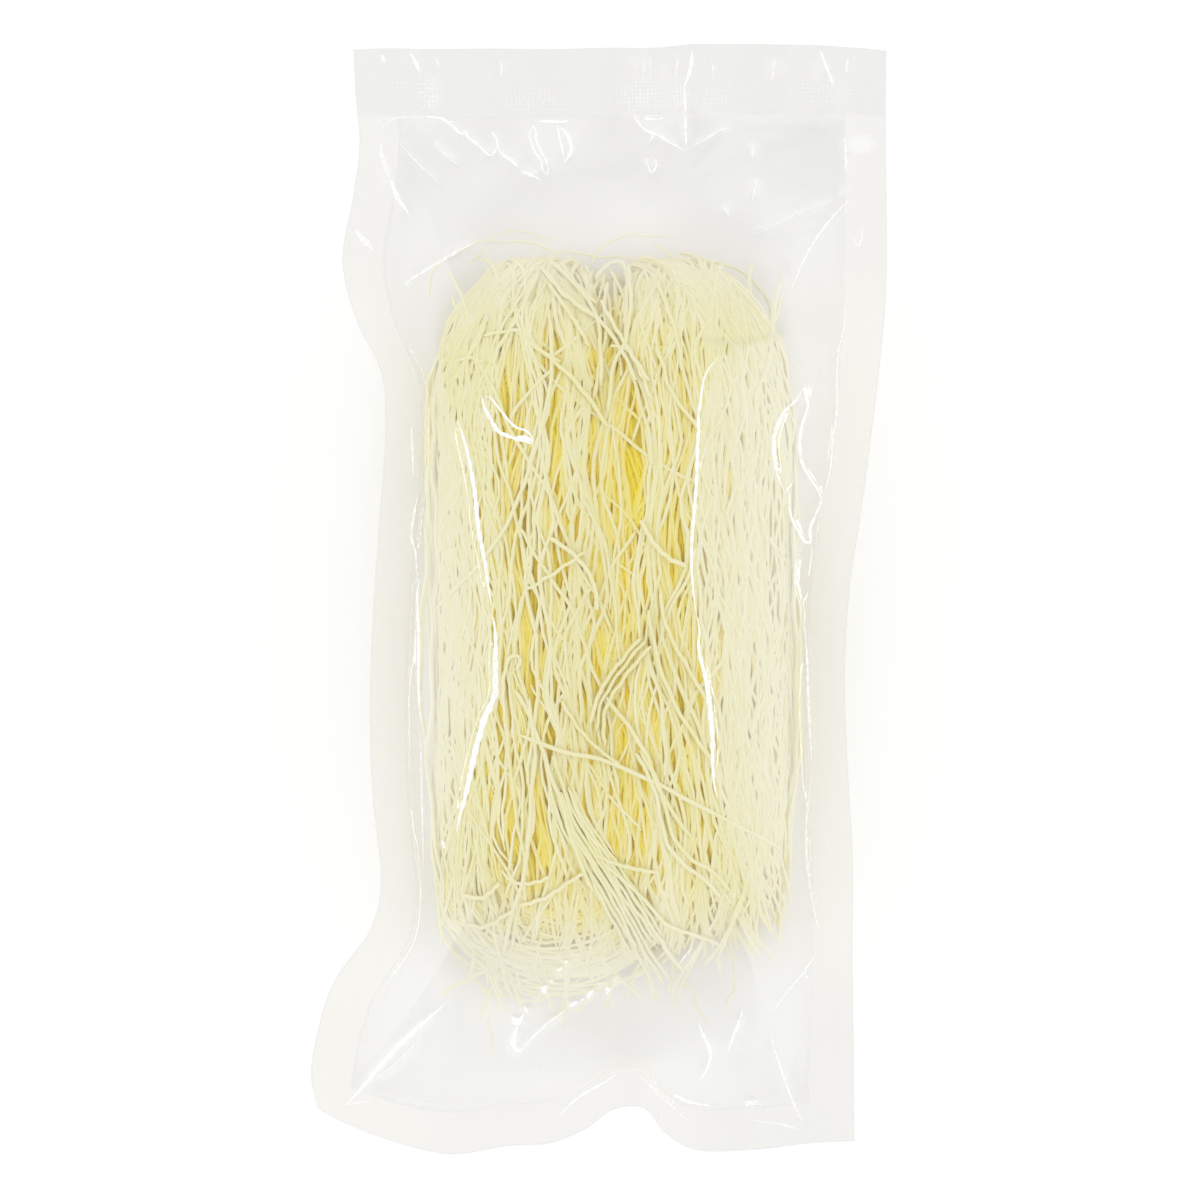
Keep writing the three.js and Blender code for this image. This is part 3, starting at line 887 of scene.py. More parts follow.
LEGS = {
    "left": dict(crown=-13.5, middle=-17.0, half_width=21.6, head_y=75.0, reach=41.0, round_foot=9.0),
    "right": dict(crown=14.5, middle=22.4, half_width=21.8, head_y=74.5, reach=39.0, round_foot=22.0),
}
FEET = {"left": (-68, -40), "right": (-76, -62)}
LONGER_FEET = {"left": (-80, -68), "right": (-79, -70)}
STRANDS_ON_TOP = {"left": 72, "right": 62}
for side, shape in LEGS.items():
    longer = {**shape, "foot_y": LONGER_FEET[side]}
    usual = {**shape, "foot_y": FEET[side]}
    first_layer = leg(66, depths=(0.02, 0.04), even=True, **longer)
    second_layer = leg(62, depths=(0.045, 0.06), even=True, **longer)
    filling = leg(36, depths=(0.1, 0.5), **usual)
    on_top = leg(STRANDS_ON_TOP[side], depths=(0.0, 0.03), under=False, **usual)
    noodle_piece(f"{side}_leg", [(first_layer, 4), (second_layer, 4), (filling, 4)])
    noodle_piece(f"upper_strands_{side}", [(on_top, 5)])

# %% [markdown]
# ### The ribbon and the stray strands
#
# Over both legs lies a flat ribbon of parallel strands, and single strays cross the hank and stick
# out at its ends as faint wisps. They catch the eye, so they are drawn as paths read off the
# photograph, in pixels. Each is made smooth, given a slight tremble, and laid on the hank or down in it.

# %% Strands drawn from the photograph
def on_surface(places, field):
    """Places on the photograph, in pixels, as millimetres, for things that lie at a raster's heights."""
    return on_table(places, values_at(field, on_table(places)))


def drawn(path, count, lift=0.0, depth=0.0, jitter=0.12):
    """A strand along places on the photograph, laid on top of the hank or down in it."""
    p = by_length(smooth_curve(on_surface(path, noodle_top)), np.linspace(0, 1, count))
    run = np.linspace(0, count * 2.0, count)[None]
    p = p + jitter * np.stack([waves(1, (9, 16, 1), (5, 8, 0.4))(run)[0] for _ in (0, 1)], -1)
    z = settle(p[:, 0], p[:, 1], depth) + lift
    return keep_inside(np.column_stack([p, z])[None], top_end=84.0)


RIBBON = [(553, 755), (562, 790), (576, 825), (598, 862), (622, 902), (646, 943), (668, 980), (692, 1018)]
RIBBON_STRANDS, RIBBON_STEP, RIBBON_FANS_OUT = 9, (3.5, -1.7), (0.5, 1.5)
STRAYS = [
    [(636, 753), (653, 786), (667, 843), (681, 862), (697, 873), (720, 896)],
    [(640, 750), (658, 784), (674, 838), (690, 858), (708, 868), (730, 890)],
    [(534, 276), (524, 291), (516, 303), (504, 322), (496, 337), (488, 362)],
    [(486, 316), (481, 334), (470, 354), (457, 374), (449, 385)],
    [(544, 271), (564, 295), (590, 312)],
    [(561, 264), (577, 284), (595, 303)],
    [(547, 282), (575, 322), (588, 345)],
    [(657, 283), (665, 303), (676, 335), (682, 371)],
    [(595, 279), (607, 264), (621, 262), (626, 274), (626, 300), (625, 340)],
    [(520, 735), (560, 750), (610, 762), (650, 780), (700, 806), (750, 832), (784, 850)],
    [(523, 591), (550, 575), (572, 560), (584, 552)],
    [(548, 536), (575, 556), (592, 580), (597, 610)],
    [(640, 637), (625, 655), (606, 680), (596, 700), (590, 722)],
    [(645, 640), (629, 659), (611, 684), (600, 704), (596, 730)],
    [(650, 646), (634, 664), (615, 690), (604, 712), (604, 745)],
    [(648, 610), (655, 650), (668, 690), (690, 730), (716, 765)],
    [(606, 697), (625, 722), (645, 752), (655, 780), (672, 812), (690, 835)],
    [(506, 735), (503, 700), (504, 672), (510, 657), (517, 655), (520, 662), (515, 670)],
    [(540, 266), (556, 285), (577, 305), (597, 318), (620, 348), (636, 380)],
    [(552, 262), (580, 290), (596, 316), (600, 350), (601, 385)],
    [(538, 272), (525, 300), (505, 335), (488, 365), (474, 395)],
    [(533, 277), (515, 320), (497, 350), (492, 365)],
    [(482, 335), (522, 331), (540, 350), (560, 362)],
    [(487, 316), (478, 335), (470, 352), (458, 375)],
    [(456, 361), (470, 357), (484, 362)],
    [(515, 331), (540, 350), (566, 372), (590, 400), (606, 425)],
    [(628, 265), (630, 300), (626, 335), (612, 370), (608, 410)],
    [(610, 345), (626, 349), (640, 372), (650, 398)],
    [(600, 300), (612, 322), (630, 352), (648, 380)],
    [(655, 345), (661, 360), (668, 385), (680, 405), (700, 430)],
    [(640, 520), (655, 545), (672, 560), (686, 565)],
    [(660, 590), (662, 612), (672, 640), (690, 672), (706, 700)],
    [(515, 690), (532, 722), (545, 760), (560, 800), (575, 850), (592, 890)],
    [(560, 700), (580, 730), (600, 750), (620, 765)],
    [(745, 800), (752, 840), (746, 880), (730, 925), (716, 960)],
    [(770, 800), (760, 840), (745, 890), (728, 930), (704, 965)],
    [(600, 860), (640, 895), (668, 925), (700, 936), (722, 946)],
    [(520, 905), (545, 897), (566, 883), (584, 872)],
    [(462, 895), (482, 897), (500, 882)],
    [(464, 924), (484, 926), (512, 910)],
    [(500, 870), (516, 882), (534, 882), (550, 876)],
    [(596, 855), (612, 862), (634, 868), (655, 872)],
]
WISPS = [
    [(405, 300), (440, 262), (470, 245), (495, 240), (522, 241), (560, 252)],
    [(470, 262), (500, 232), (530, 231), (548, 240)],
    [(590, 262), (610, 240), (640, 233), (658, 236), (670, 238)],
    [(655, 244), (668, 252), (676, 262), (690, 285)],
    [(596, 268), (612, 262), (622, 266), (628, 285)],
    [(634, 256), (638, 262), (640, 280)],
    [(560, 250), (590, 254), (650, 260), (700, 272), (740, 300)],
    [(680, 258), (720, 262), (755, 282), (775, 315)],
    [(485, 985), (489, 1020), (493, 1055)],
    [(650, 930), (680, 975), (705, 1020)],
    [(720, 930), (735, 975), (725, 1010)],
    [(600, 960), (560, 990), (520, 1000), (478, 985)],
    [(655, 905), (620, 960), (590, 1000), (548, 1018)],
    [(455, 905), (470, 950), (500, 985), (545, 1000)],
    [(440, 930), (462, 965), (500, 1005)],
]
fan = np.linspace(*RIBBON_FANS_OUT, len(RIBBON))[:, None]
ribbon = []
for k in range(RIBBON_STRANDS):
    off_middle = k - RIBBON_STRANDS // 2
    uneven = each(len(RIBBON), -5, 5) * [0.35, 0]
    places = np.array(RIBBON) + (uneven + fan * (off_middle * np.array(RIBBON_STEP)))
    first, last = rng.integers(0, 2), rng.integers(6, 9)
    ribbon.append(drawn(places[first:last], 34, lift=0.8 - 0.1 * abs(off_middle)))
strays = [drawn(path, 26, lift=0.9) for path in STRAYS]
wisps = [drawn(path, 22, lift=-1.2, depth=0.3, jitter=0.3) for path in WISPS]
print(f"{len(ribbon)} ribbon strands, {len(strays)} strays, {len(wisps)} wisps")

# %% [markdown]
# ### The turned foot and the loose strands
#
# At the foot the left leg swings round in flat nested arcs, and the right leg ends in broken tips.
# Short strands also lie across the others at small angles, in the furrow, at the head and over the
# foot. Both are scattered by the seeded generator, since only their density and lie matter.

# %% Nested arcs and loose strands
def arcs(n, centre, radius, count=40):
    """Flat nested turns at the foot of the left leg."""
    r = each(n, 0.22, 1) ** 0.8 * radius
    width = r * each(n, 1.0, 1.22)
    depth = each(n, 0.0, 0.42) + 0.12 * (1 - r / radius)
    cx = centre[0] + scatter(n, 2.2)
    cy = centre[1] + scatter(n, 2.0)
    left_run, right_run = each(n, 15, 70), each(n, 0, 22)
    bow = math.pi * (r + width) / 2
    along = np.linspace(0, 1, count)[None] * (left_run + bow + right_run)
    angle = np.clip((along - left_run) / bow, 0, 1) * math.pi
    x = cx - width * np.cos(angle) + np.where(along < left_run, 0.06 * (left_run - along), 0)
    y = cy - r * np.sin(angle)
    y = y + np.clip(left_run - along, 0, None) + np.clip(along - left_run - bow, 0, None)
    x = x + waves(n, (30, 60, 0.7), (12, 20, 0.25), (6, 9, 0.07))(along)
    y = y + waves(n, (22, 40, 0.5))(along)
    return keep_inside(np.stack([x, y, settle(x, y, np.clip(depth, 0, 1))], -1))


def loose(n, x_range, y_range, turn, length, depth=(0.0, 0.12), count=24):
    """Short strands that lie across the others at small angles."""
    heading = np.clip(scatter(n, turn), -1.0, 1.0)
    size = each(n, *length)
    s = np.linspace(-0.5, 0.5, count)[None]
    run = s * size
    bend = scatter(n, 0.5) * s**2 * size * 0.5
    x0, y0 = each(n, *x_range), each(n, *y_range)
    side = waves(n, (20, 40, 0.6), (9, 15, 0.2))(run) + bend
    x = x0 + run * np.sin(heading) + side * np.cos(heading)
    y = y0 + run * np.cos(heading) - side * np.sin(heading)
    return keep_inside(np.stack([x, y, settle(x, y, each(n, *depth)) + 0.3], -1), top_end=74.0)


groups = [
    arcs(120, centre=(-9.0, -58.5), radius=25.0),
    loose(96, (-28, 34), (-62, 56), 0.26, (25, 80)),
    loose(58, (-9, 15), (-44, 60), 0.34, (18, 52)),
    loose(34, (-20, 30), (44, 60), 0.55, (14, 30), depth=(0.0, 0.3)),
    loose(26, (-9, 12), (56, 64), 0.4, (16, 30), depth=(0.05, 0.4)),
    loose(56, (-30, 24), (-80, -62), 0.6, (14, 34), depth=(0.1, 0.6)),
]
scattered = [(strands, 5) for strands in groups]
placed = [(np.vstack(ribbon), 6), (np.vstack(strays), 6)]
noodle_piece("turned_foot_and_loose_strands", scattered + placed)
noodle_piece("wisps", [(np.vstack(wisps), 5)], thickness=0.6)

# %% [markdown]
# ## Creases of the film
#
# The film is stiff enough to crease. Each crease is a low sharp ridge, and along its crest a white
# line is painted: a painted highlight that stands in for the glint of the lamps on the fold. Those
# bright crests are what the eye follows on the real bag: the two long shoulder lines, the hook, the
# leaf-shaped dent, the zigzag under the closing weld and the string of beads at the foot. A ridge in
# the film's height gives the fold, and a thin strip of its own along the crest carries the painted
# highlight, since a half millimetre grid of film is too coarse for a line of half a millimetre. Each
# entry is the line's width and the strength of its painted highlight, and its path on the photograph,
# in pixels.

# %% Where the creases run
SHOULDER_CREASES = [
    (3.6, 1.0, [(457, 419), (464, 440), (469, 461), (474, 490), (478, 527), (482, 550), (485, 565),
        (488, 587), (492, 609)]),
    (5.0, 1.0, [(490, 612), (493, 620), (495, 640), (495, 662), (495, 681), (495, 692), (491, 703),
        (484, 718), (479, 735), (474, 754), (470, 773), (464, 799), (459, 817), (456, 832)]),
    (3.0, 0.9, [(442, 839), (444, 848)]),
    (3.0, 1.0, [(719, 356), (710, 366), (705, 374), (702, 385), (700, 401), (698, 414), (698, 430),
        (697, 447), (696, 480), (694, 507), (692, 530), (691, 547), (691, 565), (692, 581), (694, 601),
        (697, 618)]),
    (3.8, 1.0, [(697, 616), (699, 633), (698, 644), (700, 658), (705, 677), (708, 697), (710, 716),
        (712, 735), (712, 754), (713, 777), (715, 790), (718, 798)]),
    (3.4, 1.0, [(481, 394), (484, 407), (490, 418), (498, 431), (509, 436), (521, 440), (531, 442)]),
    (2.0, 1.0, [(483, 395), (490, 398), (501, 411), (509, 421), (516, 427), (525, 430), (531, 436),
        (531, 443), (524, 441)]),
    (4.0, 1.0, [(516, 436), (523, 437), (531, 440)]),
]
LEAF_CREASES = [
    (2.8, 1.0, [(803, 387), (796, 399), (784, 411), (777, 424), (773, 440), (774, 459), (777, 474),
        (782, 487), (784, 494)]),
    (2.0, 1.0, [(783, 493), (787, 489), (792, 482)]),
    (2.6, 1.0, [(789, 490), (789, 507), (792, 520), (799, 533), (805, 542), (810, 541), (809, 530),
        (815, 514), (822, 501)]),
    (2.8, 1.0, [(822, 502), (817, 489), (807, 474), (801, 461), (799, 445), (801, 426), (807, 407),
        (807, 397), (803, 387)]),
    (4.5, 1.0, [(801, 390), (804, 388), (806, 394), (806, 402)]),
]
SIDE_WELD_LINES = [
    (1.8, 0.7, [(411, 426), (412, 450), (413, 476)]),
    (1.8, 0.8, [(418, 493), (415, 506), (411, 537), (415, 551), (416, 571)]),
    (2.6, 0.9, [(419, 578), (417, 594), (418, 630), (418, 680), (420, 720)]),
    (1.6, 0.6, [(420, 730), (421, 780), (422, 820), (423, 868)]),
    (1.8, 0.6, [(845, 308), (843, 329), (838, 350), (836, 386), (836, 415), (832, 438), (830, 466),
        (826, 484), (820, 503)]),
    (1.6, 0.5, [(832, 420), (829, 445), (826, 466)]),
    (1.8, 0.6, [(801, 547), (796, 560), (794, 581), (798, 600), (802, 615)]),
    (2.0, 0.7, [(803, 618), (806, 650), (808, 700), (811, 760)]),
    (1.8, 0.5, [(811, 775), (806, 820), (806, 860), (812, 900), (818, 930)]),
]
HEAD_CREASES = [
    (4.0, 0.8, [(381, 54), (385, 63)]),
    (3.0, 1.0, [(410, 52), (415, 62), (420, 73)]),
    (2.2, 0.6, [(435, 58), (439, 67)]),
    (2.4, 0.5, [(501, 61), (501, 75)]),
    (3.2, 1.0, [(692, 50), (690, 68), (684, 86)]),
    (1.6, 0.4, [(678, 52), (676, 70), (672, 82)]),
    (1.4, 0.4, [(643, 55), (643, 80)]),
    (1.4, 0.4, [(650, 55), (650, 80)]),
    (2.4, 0.4, [(712, 61), (713, 78)]),
    (2.8, 1.0, [(820, 50), (826, 67), (833, 84)]),
    (3.0, 0.6, [(847, 58), (846, 72)]),
    (2.6, 0.4, [(774, 57), (771, 81)]),
    (1.6, 0.5, [(377, 134), (384, 125), (393, 118), (409, 117), (423, 116)]),
    (2.2, 1.0, [(420, 116), (440, 118), (450, 124), (462, 134), (465, 131), (467, 136), (478, 145),
        (490, 155), (494, 152), (497, 141)]),
    (1.8, 0.9, [(491, 131), (496, 138), (498, 148), (502, 154)]),
    (2.8, 1.0, [(499, 151), (503, 155), (512, 161), (519, 168)]),
    (2.4, 1.0, [(521, 171), (529, 174), (540, 179)]),
    (1.9, 1.0, [(533, 125), (529, 133), (531, 143), (536, 154), (541, 161), (542, 169), (547, 175)]),
    (1.9, 1.0, [(547, 175), (548, 169), (545, 159), (540, 150), (536, 140), (535, 130), (532, 124)]),
    (1.6, 0.9, [(557, 125), (559, 136), (562, 150), (564, 161)]),
    (3.0, 1.0, [(560, 127), (566, 133), (570, 143), (571, 150), (567, 158), (564, 162)]),
    (2.2, 1.0, [(632, 113), (640, 125), (647, 131), (656, 134), (671, 143), (685, 151)]),
    (1.8, 0.9, [(654, 132), (649, 143)]),
    (2.4, 0.9, [(684, 86), (685, 110), (685, 127), (686, 150)]),
    (1.5, 0.7, [(690, 147), (706, 138), (721, 129), (729, 127)]),
    (1.7, 0.9, [(645, 158), (651, 172), (656, 165), (655, 158)]),
    (4.0, 0.55, [(380, 143), (382, 157), (390, 178)]),
    (3.6, 0.9, [(390, 178), (397, 197), (409, 214)]),
    (1.3, 0.6, [(395, 138), (409, 154), (426, 171), (441, 184)]),
    (2.2, 0.45, [(434, 141), (445, 154), (459, 165)]),
    (4.6, 0.7, [(354, 229), (362, 238), (373, 250)]),
    (2.6, 0.7, [(410, 286), (405, 284), (425, 270), (450, 255), (478, 240)]),
    (3.0, 0.6, [(842, 134), (845, 146), (845, 160), (846, 171)]),
    (2.6, 0.4, [(843, 186), (838, 198)]),
    (1.8, 0.8, [(847, 201), (828, 221), (813, 242), (804, 258), (790, 290)]),
    (2.2, 0.35, [(752, 236), (780, 221), (804, 210), (832, 199)]),
    (2.6, 0.5, [(752, 143), (752, 159)]),
    (2.6, 0.4, [(756, 178), (752, 200)]),
    (2.0, 0.5, [(852, 236), (858, 246), (863, 225)]),
    (2.2, 0.5, [(722, 206), (729, 216)]),
]
FOOT_CREASES = [
    (4.0, 1.0, [(345, 1105), (360, 1089), (378, 1067), (404, 1039), (424, 1021), (445, 1003)]),
    (1.6, 0.7, [(345, 1104), (356, 1102), (369, 1101)]),
    (1.3, 0.5, [(424, 1028), (413, 1045), (395, 1063), (367, 1084)]),
    (3.0, 1.0, [(567, 960), (564, 963)]),
    (3.0, 1.0, [(562, 967), (556, 971)]),
    (2.8, 1.0, [(552, 979), (550, 982)]),
    (5.0, 1.0, [(547, 984), (541, 991)]),
    (1.8, 0.9, [(539, 994), (538, 996)]),
    (2.6, 0.9, [(524, 1005), (527, 1013)]),
    (4.6, 1.0, [(511, 1016), (515, 1020), (520, 1019), (523, 1014)]),
    (4.6, 1.0, [(517, 1025), (514, 1035), (513, 1045), (518, 1050), (523, 1048)]),
    (2.0, 0.8, [(521, 1049), (528, 1041), (541, 1028), (552, 1019), (566, 1009)]),
    (4.0, 1.0, [(568, 1006), (578, 1001)]),
    (2.0, 0.9, [(580, 1000), (584, 998)]),
    (3.6, 1.0, [(586, 997), (590, 993), (593, 989)]),
    (1.6, 0.8, [(598, 982), (600, 984)]),
    (4.0, 1.0, [(605, 987), (609, 990)]),
    (2.2, 0.7, [(614, 979), (617, 976)]),
    (2.4, 0.8, [(557, 1117), (576, 1098), (598, 1085), (618, 1073)]),
    (1.8, 0.5, [(640, 1076), (661, 1096), (686, 1119)]),
    (3.0, 1.0, [(698, 1023), (704, 1037), (710, 1053), (707, 1067), (700, 1079)]),
    (2.6, 1.0, [(742, 1009), (738, 1023), (733, 1035), (728, 1050)]),
    (2.0, 0.8, [(770, 1037), (776, 1055), (786, 1085), (795, 1107), (802, 1123)]),
    (1.6, 0.6, [(751, 1120), (778, 1123), (801, 1129)]),
    (3.0, 0.6, [(743, 1102), (758, 1101)]),
    (2.0, 0.6, [(814, 955), (802, 973), (786, 992), (772, 1012)]),
    (1.4, 0.7, [(692, 946), (685, 955), (678, 965)]),
]
CREASES = SHOULDER_CREASES + LEAF_CREASES + SIDE_WELD_LINES + HEAD_CREASES + FOOT_CREASES

# %% [markdown]
# The ridge of a crease is a bell across its path and fades out at both ends. Wider lines are higher
# ridges. The ridges are kept apart from the film's own height, because the welds have them too.

# %% Ridges of the creases
CREASE_SPACING, NEAR_ENOUGH = 0.45, 5
CREASE_HEIGHT, HEIGHT_PER_WIDTH, CREASE_HALF_WIDTH, SPREAD_PER_WIDTH = 0.22, 0.10, 0.75, 0.06


def crease_path(places):
    """A crease's path on the bag, in millimetres, evenly spaced."""
    path = smooth_curve(on_surface(places, film_rest), 12)
    count = max(int(np.linalg.norm(np.diff(path, axis=0), axis=1).sum() / CREASE_SPACING), 5)
    return by_length(path, np.linspace(0, 1, count))


creased = np.zeros_like(X)
crest_paths = [crease_path(places) for _, _, places in CREASES]
for (width, _, _), line in zip(CREASES, crest_paths):
    low, high = line.min(0) - NEAR_ENOUGH, line.max(0) + NEAR_ENOUGH
    near = (X > low[0]) & (X < high[0]) & (Y > low[1]) & (Y < high[1])
    distance, share = along_path(X[near], Y[near], line[::2])
    height = CREASE_HEIGHT + HEIGHT_PER_WIDTH * width
    half_width = CREASE_HALF_WIDTH + SPREAD_PER_WIDTH * width
    ridge = height * np.clip(np.sin(share * math.pi) * 1.6, 0, 1) * np.exp(-((distance / half_width) ** 2))
    creased[near] = np.maximum(creased[near], ridge)
print(f"{len(CREASES)} creases, up to {creased.max():.2f} mm high")

# %% [markdown]
# ## Ripples
#
# Away from its creases the slack film has faint broad ripples, and where it lies taut on the noodles it
# has none. A sum of long waves at random headings gives them, each bent a little so that it doesn't
# look like a wave. They are too low to see as shapes, but they break up what the film mirrors.

# %% Ripples, and the upper film's heights
RIPPLES, RIPPLE_HEIGHT, RIPPLE_WARP = 26, 0.0016, 3

ripple = np.zeros_like(X)
for _ in range(RIPPLES):
    heading, length, phase = rng.uniform(0, math.pi), rng.uniform(9, 34), rng.uniform(0, 2 * math.pi)
    warp = RIPPLE_WARP * np.sin((X * math.sin(heading * 3) - Y * math.cos(heading * 2)) / 17 + phase)
    run = X * math.cos(heading) + Y * math.sin(heading) + warp
    ripple += RIPPLE_HEIGHT * length**1.25 * np.sin(2 * math.pi * run / length + phase)
slack = blur(np.where(in_pouch, np.clip((film_rest - noodle_top - 0.8) / 4, 0, 1), 0.0), 4.0)
film_z = film_rest + creased + ripple * slack
print(f"ripples up to {np.abs(ripple * slack).max():.2f} mm")

# %% [markdown]
# ## Haze and painted veil
#
# Where the film stands off the noodles its fine haze veils them, and its slopes mirror more light,
# which is painted into the same map as a white veil. The film lies on the noodles in a clear window
# between the shoulder lines, and lifts off quickly at both sides and slowly towards the head and the
# foot. Near the hank's outline the measured gap adds to that. It gives a map of haze and painted
# veil, which the material reads, instead of one dull haze all over. The window's edges were read off
# the photograph.

# %% Map of haze and painted veil
WINDOW_LEFT = [
    (430, 270), (436, 330), (446, 380), (457, 419), (469, 461), (478, 527), (488, 587), (495, 640),
    (495, 692), (479, 735), (464, 799), (456, 832), (448, 880), (440, 960),
]
WINDOW_RIGHT = [
    (800, 270), (800, 322), (768, 337), (730, 346), (710, 366), (700, 401), (696, 480), (691, 547),
    (694, 601), (700, 658), (710, 716), (713, 777), (724, 830), (752, 900), (770, 960),
]
WINDOW_HEIGHT = 24.0
SIDE_HAZE_AT_ONCE, SIDE_HAZE_LATER, HEAD_HAZE, FOOT_HAZE = 0.36, 0.30, 0.75, 0.8


def window_edge(places):
    """How far across the bag an edge of the clear window is, for each place of the raster."""
    line = on_table(places, WINDOW_HEIGHT)
    return np.interp(Y, line[::-1, 1], line[::-1, 0])


past_side = np.maximum(window_edge(WINDOW_LEFT) - X, X - window_edge(WINDOW_RIGHT))
side_haze = SIDE_HAZE_AT_ONCE + SIDE_HAZE_LATER * smooth_step(past_side / 14)
side_haze *= smooth_step(past_side / 1.4)
stand_off = smooth_step((film_rest - noodle_top - STRAND_RADIUS - 0.5) / 6.0)
stand_off *= smooth_step((towards_outline(X, Y) - 0.45) / 0.5)
head_haze, foot_haze = HEAD_HAZE * smooth_step((Y - 50) / 36), FOOT_HAZE * smooth_step((-52 - Y) / 34)
# Partly the film's own haze, partly a painted veil of the light that its slopes mirror.
haze_and_painted_veil = np.clip(1 - (1 - side_haze) * (1 - head_haze) * (1 - foot_haze) * (1 - stand_off), 0, 1)
print(f"haze: {haze_and_painted_veil[in_pouch].mean():.2f} on average over the film")

# %% [markdown]
# ## Painted sheens and painted shade
#
# Soft folds, too broad for a crest highlight, still show as pale patches and as lines of light or
# shade. They are so low that a map shows them as well as a shape would, so they are painted into two
# more maps. One paints sheen on the film with patches (place and half size in pixels, turn in
# degrees, strength) and pale lines. The other paints shade: a little everywhere, more at the head
# and the foot, and along the soft lines of shade. A soft line is its width, its shade, which is
# below zero for a pale line, and its path, in pixels.

# %% Sheens and soft lines
SHEENS = [
    (861, 143, 19, 14, 0, 0.55), (662, 92, 26, 40, 8, 0.16), (433, 92, 12, 22, 0, 0.20),
    (776, 66, 14, 14, 30, 0.22), (818, 68, 9, 17, -20, 0.22), (420, 120, 22, 6, 0, 0.18),
    (386, 168, 8, 24, -12, 0.30), (862, 318, 16, 13, 0, 0.20), (470, 80, 40, 20, 0, 0.05),
    (640, 62, 14, 12, 0, 0.2), (536, 150, 16, 20, 0, 0.05), (812, 380, 9, 36, -20, 0.10),
]
SOFT_LINES = [
    (8, 0.55, [(698, 337), (715, 341), (738, 343), (757, 338), (776, 334), (805, 329)]),
    (9, -0.07, [(776, 335), (792, 348), (807, 369), (815, 386), (815, 419)]),
    (8, 0.35, [(724, 128), (704, 150), (686, 173)]),
    (6, 0.40, [(725, 129), (767, 128), (813, 129), (841, 133)]),
    (16, 0.25, [(752, 148), (790, 142), (835, 136)]),
    (6, -0.12, [(752, 226), (780, 217), (812, 205)]),
    (10, 0.25, [(684, 188), (711, 173), (735, 168)]),
    (8, 0.22, [(698, 256), (762, 242), (840, 222)]),
    (6, 0.35, [(603, 56), (608, 66), (615, 78)]),
    (12, 0.30, [(697, 60), (696, 100), (693, 140)]),
    (18, 0.30, [(776, 80), (795, 64)]),
    (14, 0.22, [(560, 180), (600, 170), (640, 176)]),
    (12, -0.08, [(389, 940), (382, 1000), (375, 1050)]),
    (18, 0.25, [(456, 985), (460, 1020), (458, 1060)]),
    (20, 0.30, [(630, 958), (628, 985), (640, 1014)]),
    (16, 0.25, [(752, 1000), (744, 1040), (738, 1085)]),
    (9, -0.12, [(768, 1020), (778, 1060), (790, 1106)]),
    (5, -0.22, [(600, 999), (609, 1010), (618, 1025)]),
    (8, -0.12, [(529, 1062), (551, 1068)]),
    (12, -0.18, [(720, 1106), (740, 1100), (760, 1102)]),
    (5, -0.15, [(348, 1103), (400, 1098), (470, 1095)]),
]
SHEEN_HEIGHT = 8.0
DIM_EVERYWHERE, DIM_HEAD, DIM_FOOT, DIM_RIGHT_FOOT = 0.12, 0.36, 0.12, 0.15

sheen = np.zeros_like(X)
# The sheen map is painted sheen: pale reflections of soft folds.
for px, py, half_x, half_y, turn, strength in SHEENS:
    cx, cy = on_table((px, py), SHEEN_HEIGHT)
    cos, sin = math.cos(math.radians(turn)), math.sin(math.radians(turn))
    right, up = (X - cx) * cos + (Y - cy) * sin, (Y - cy) * cos - (X - cx) * sin
    far = np.hypot(right / (half_x * MM_PER_PIXEL), up / (half_y * MM_PER_PIXEL))
    sheen = np.maximum(sheen, strength * (1 - smooth_step((far - 0.45) / 0.7)))

at_head, at_foot = smooth_step((Y - 56) / 26), smooth_step((-84 - Y) / 14)
# This map is painted shade, which the material reads as rim.
painted_shade = DIM_EVERYWHERE + DIM_HEAD * at_head + DIM_FOOT * at_foot
painted_shade += DIM_RIGHT_FOOT * smooth_step((X - 10) / 20) * smooth_step((-70 - Y) / 20)
for width, shade, places in SOFT_LINES:
    distance, share = along_path(X, Y, crease_path(places)[::6])
    fade_out = np.clip(np.sin(share * math.pi) * 2, 0, 1)
    band = np.exp(-((distance / (width * MM_PER_PIXEL / 2)) ** 2)) * fade_out
    if shade > 0:
        painted_shade += shade * band
    else:
        sheen = np.maximum(sheen, -shade * band)
print(f"{len(SHEENS)} sheens and {len(SOFT_LINES)} soft lines")

# %% [markdown]
# ## Film material
#
# Clear film lets light through, mirrors a little of it, more at a grazing angle, and scatters a
# little. So the shader mixes a Transparent part, a mirror driven by the angle, and a milky part. The
# haze raises both: film that stands off the noodles shows more of what it mirrors, and more milk,
# which is partly the film's own haze and partly a painted veil of reflected light. A real refraction
# shader would do the same with two walls a tenth of a millimetre apart, but it would cast dark
# shadows on the noodles unless caustics were traced too. The bare edge of the film looks a little
# darker, because light is caught inside it, and the same darker tint is painted shade where the rim
# map asks for it. The sheen map whitens the milk, which is a painted sheen. Welded film is two films
# thick and pressed, so it is milkier than one film.

# %% Film materials
FILM_TINT, PAINTED_SHADE_TINT = (0.962, 0.957, 0.940, 1), (0.84, 0.84, 0.85, 1)
WELD_TINT, CLOSING_TINT = (0.976, 0.962, 0.918, 1), (0.872, 0.868, 0.858, 1)
MILK, SHEEN_WHITE = (0.80, 0.79, 0.765, 1), (0.99, 0.99, 0.985, 1)


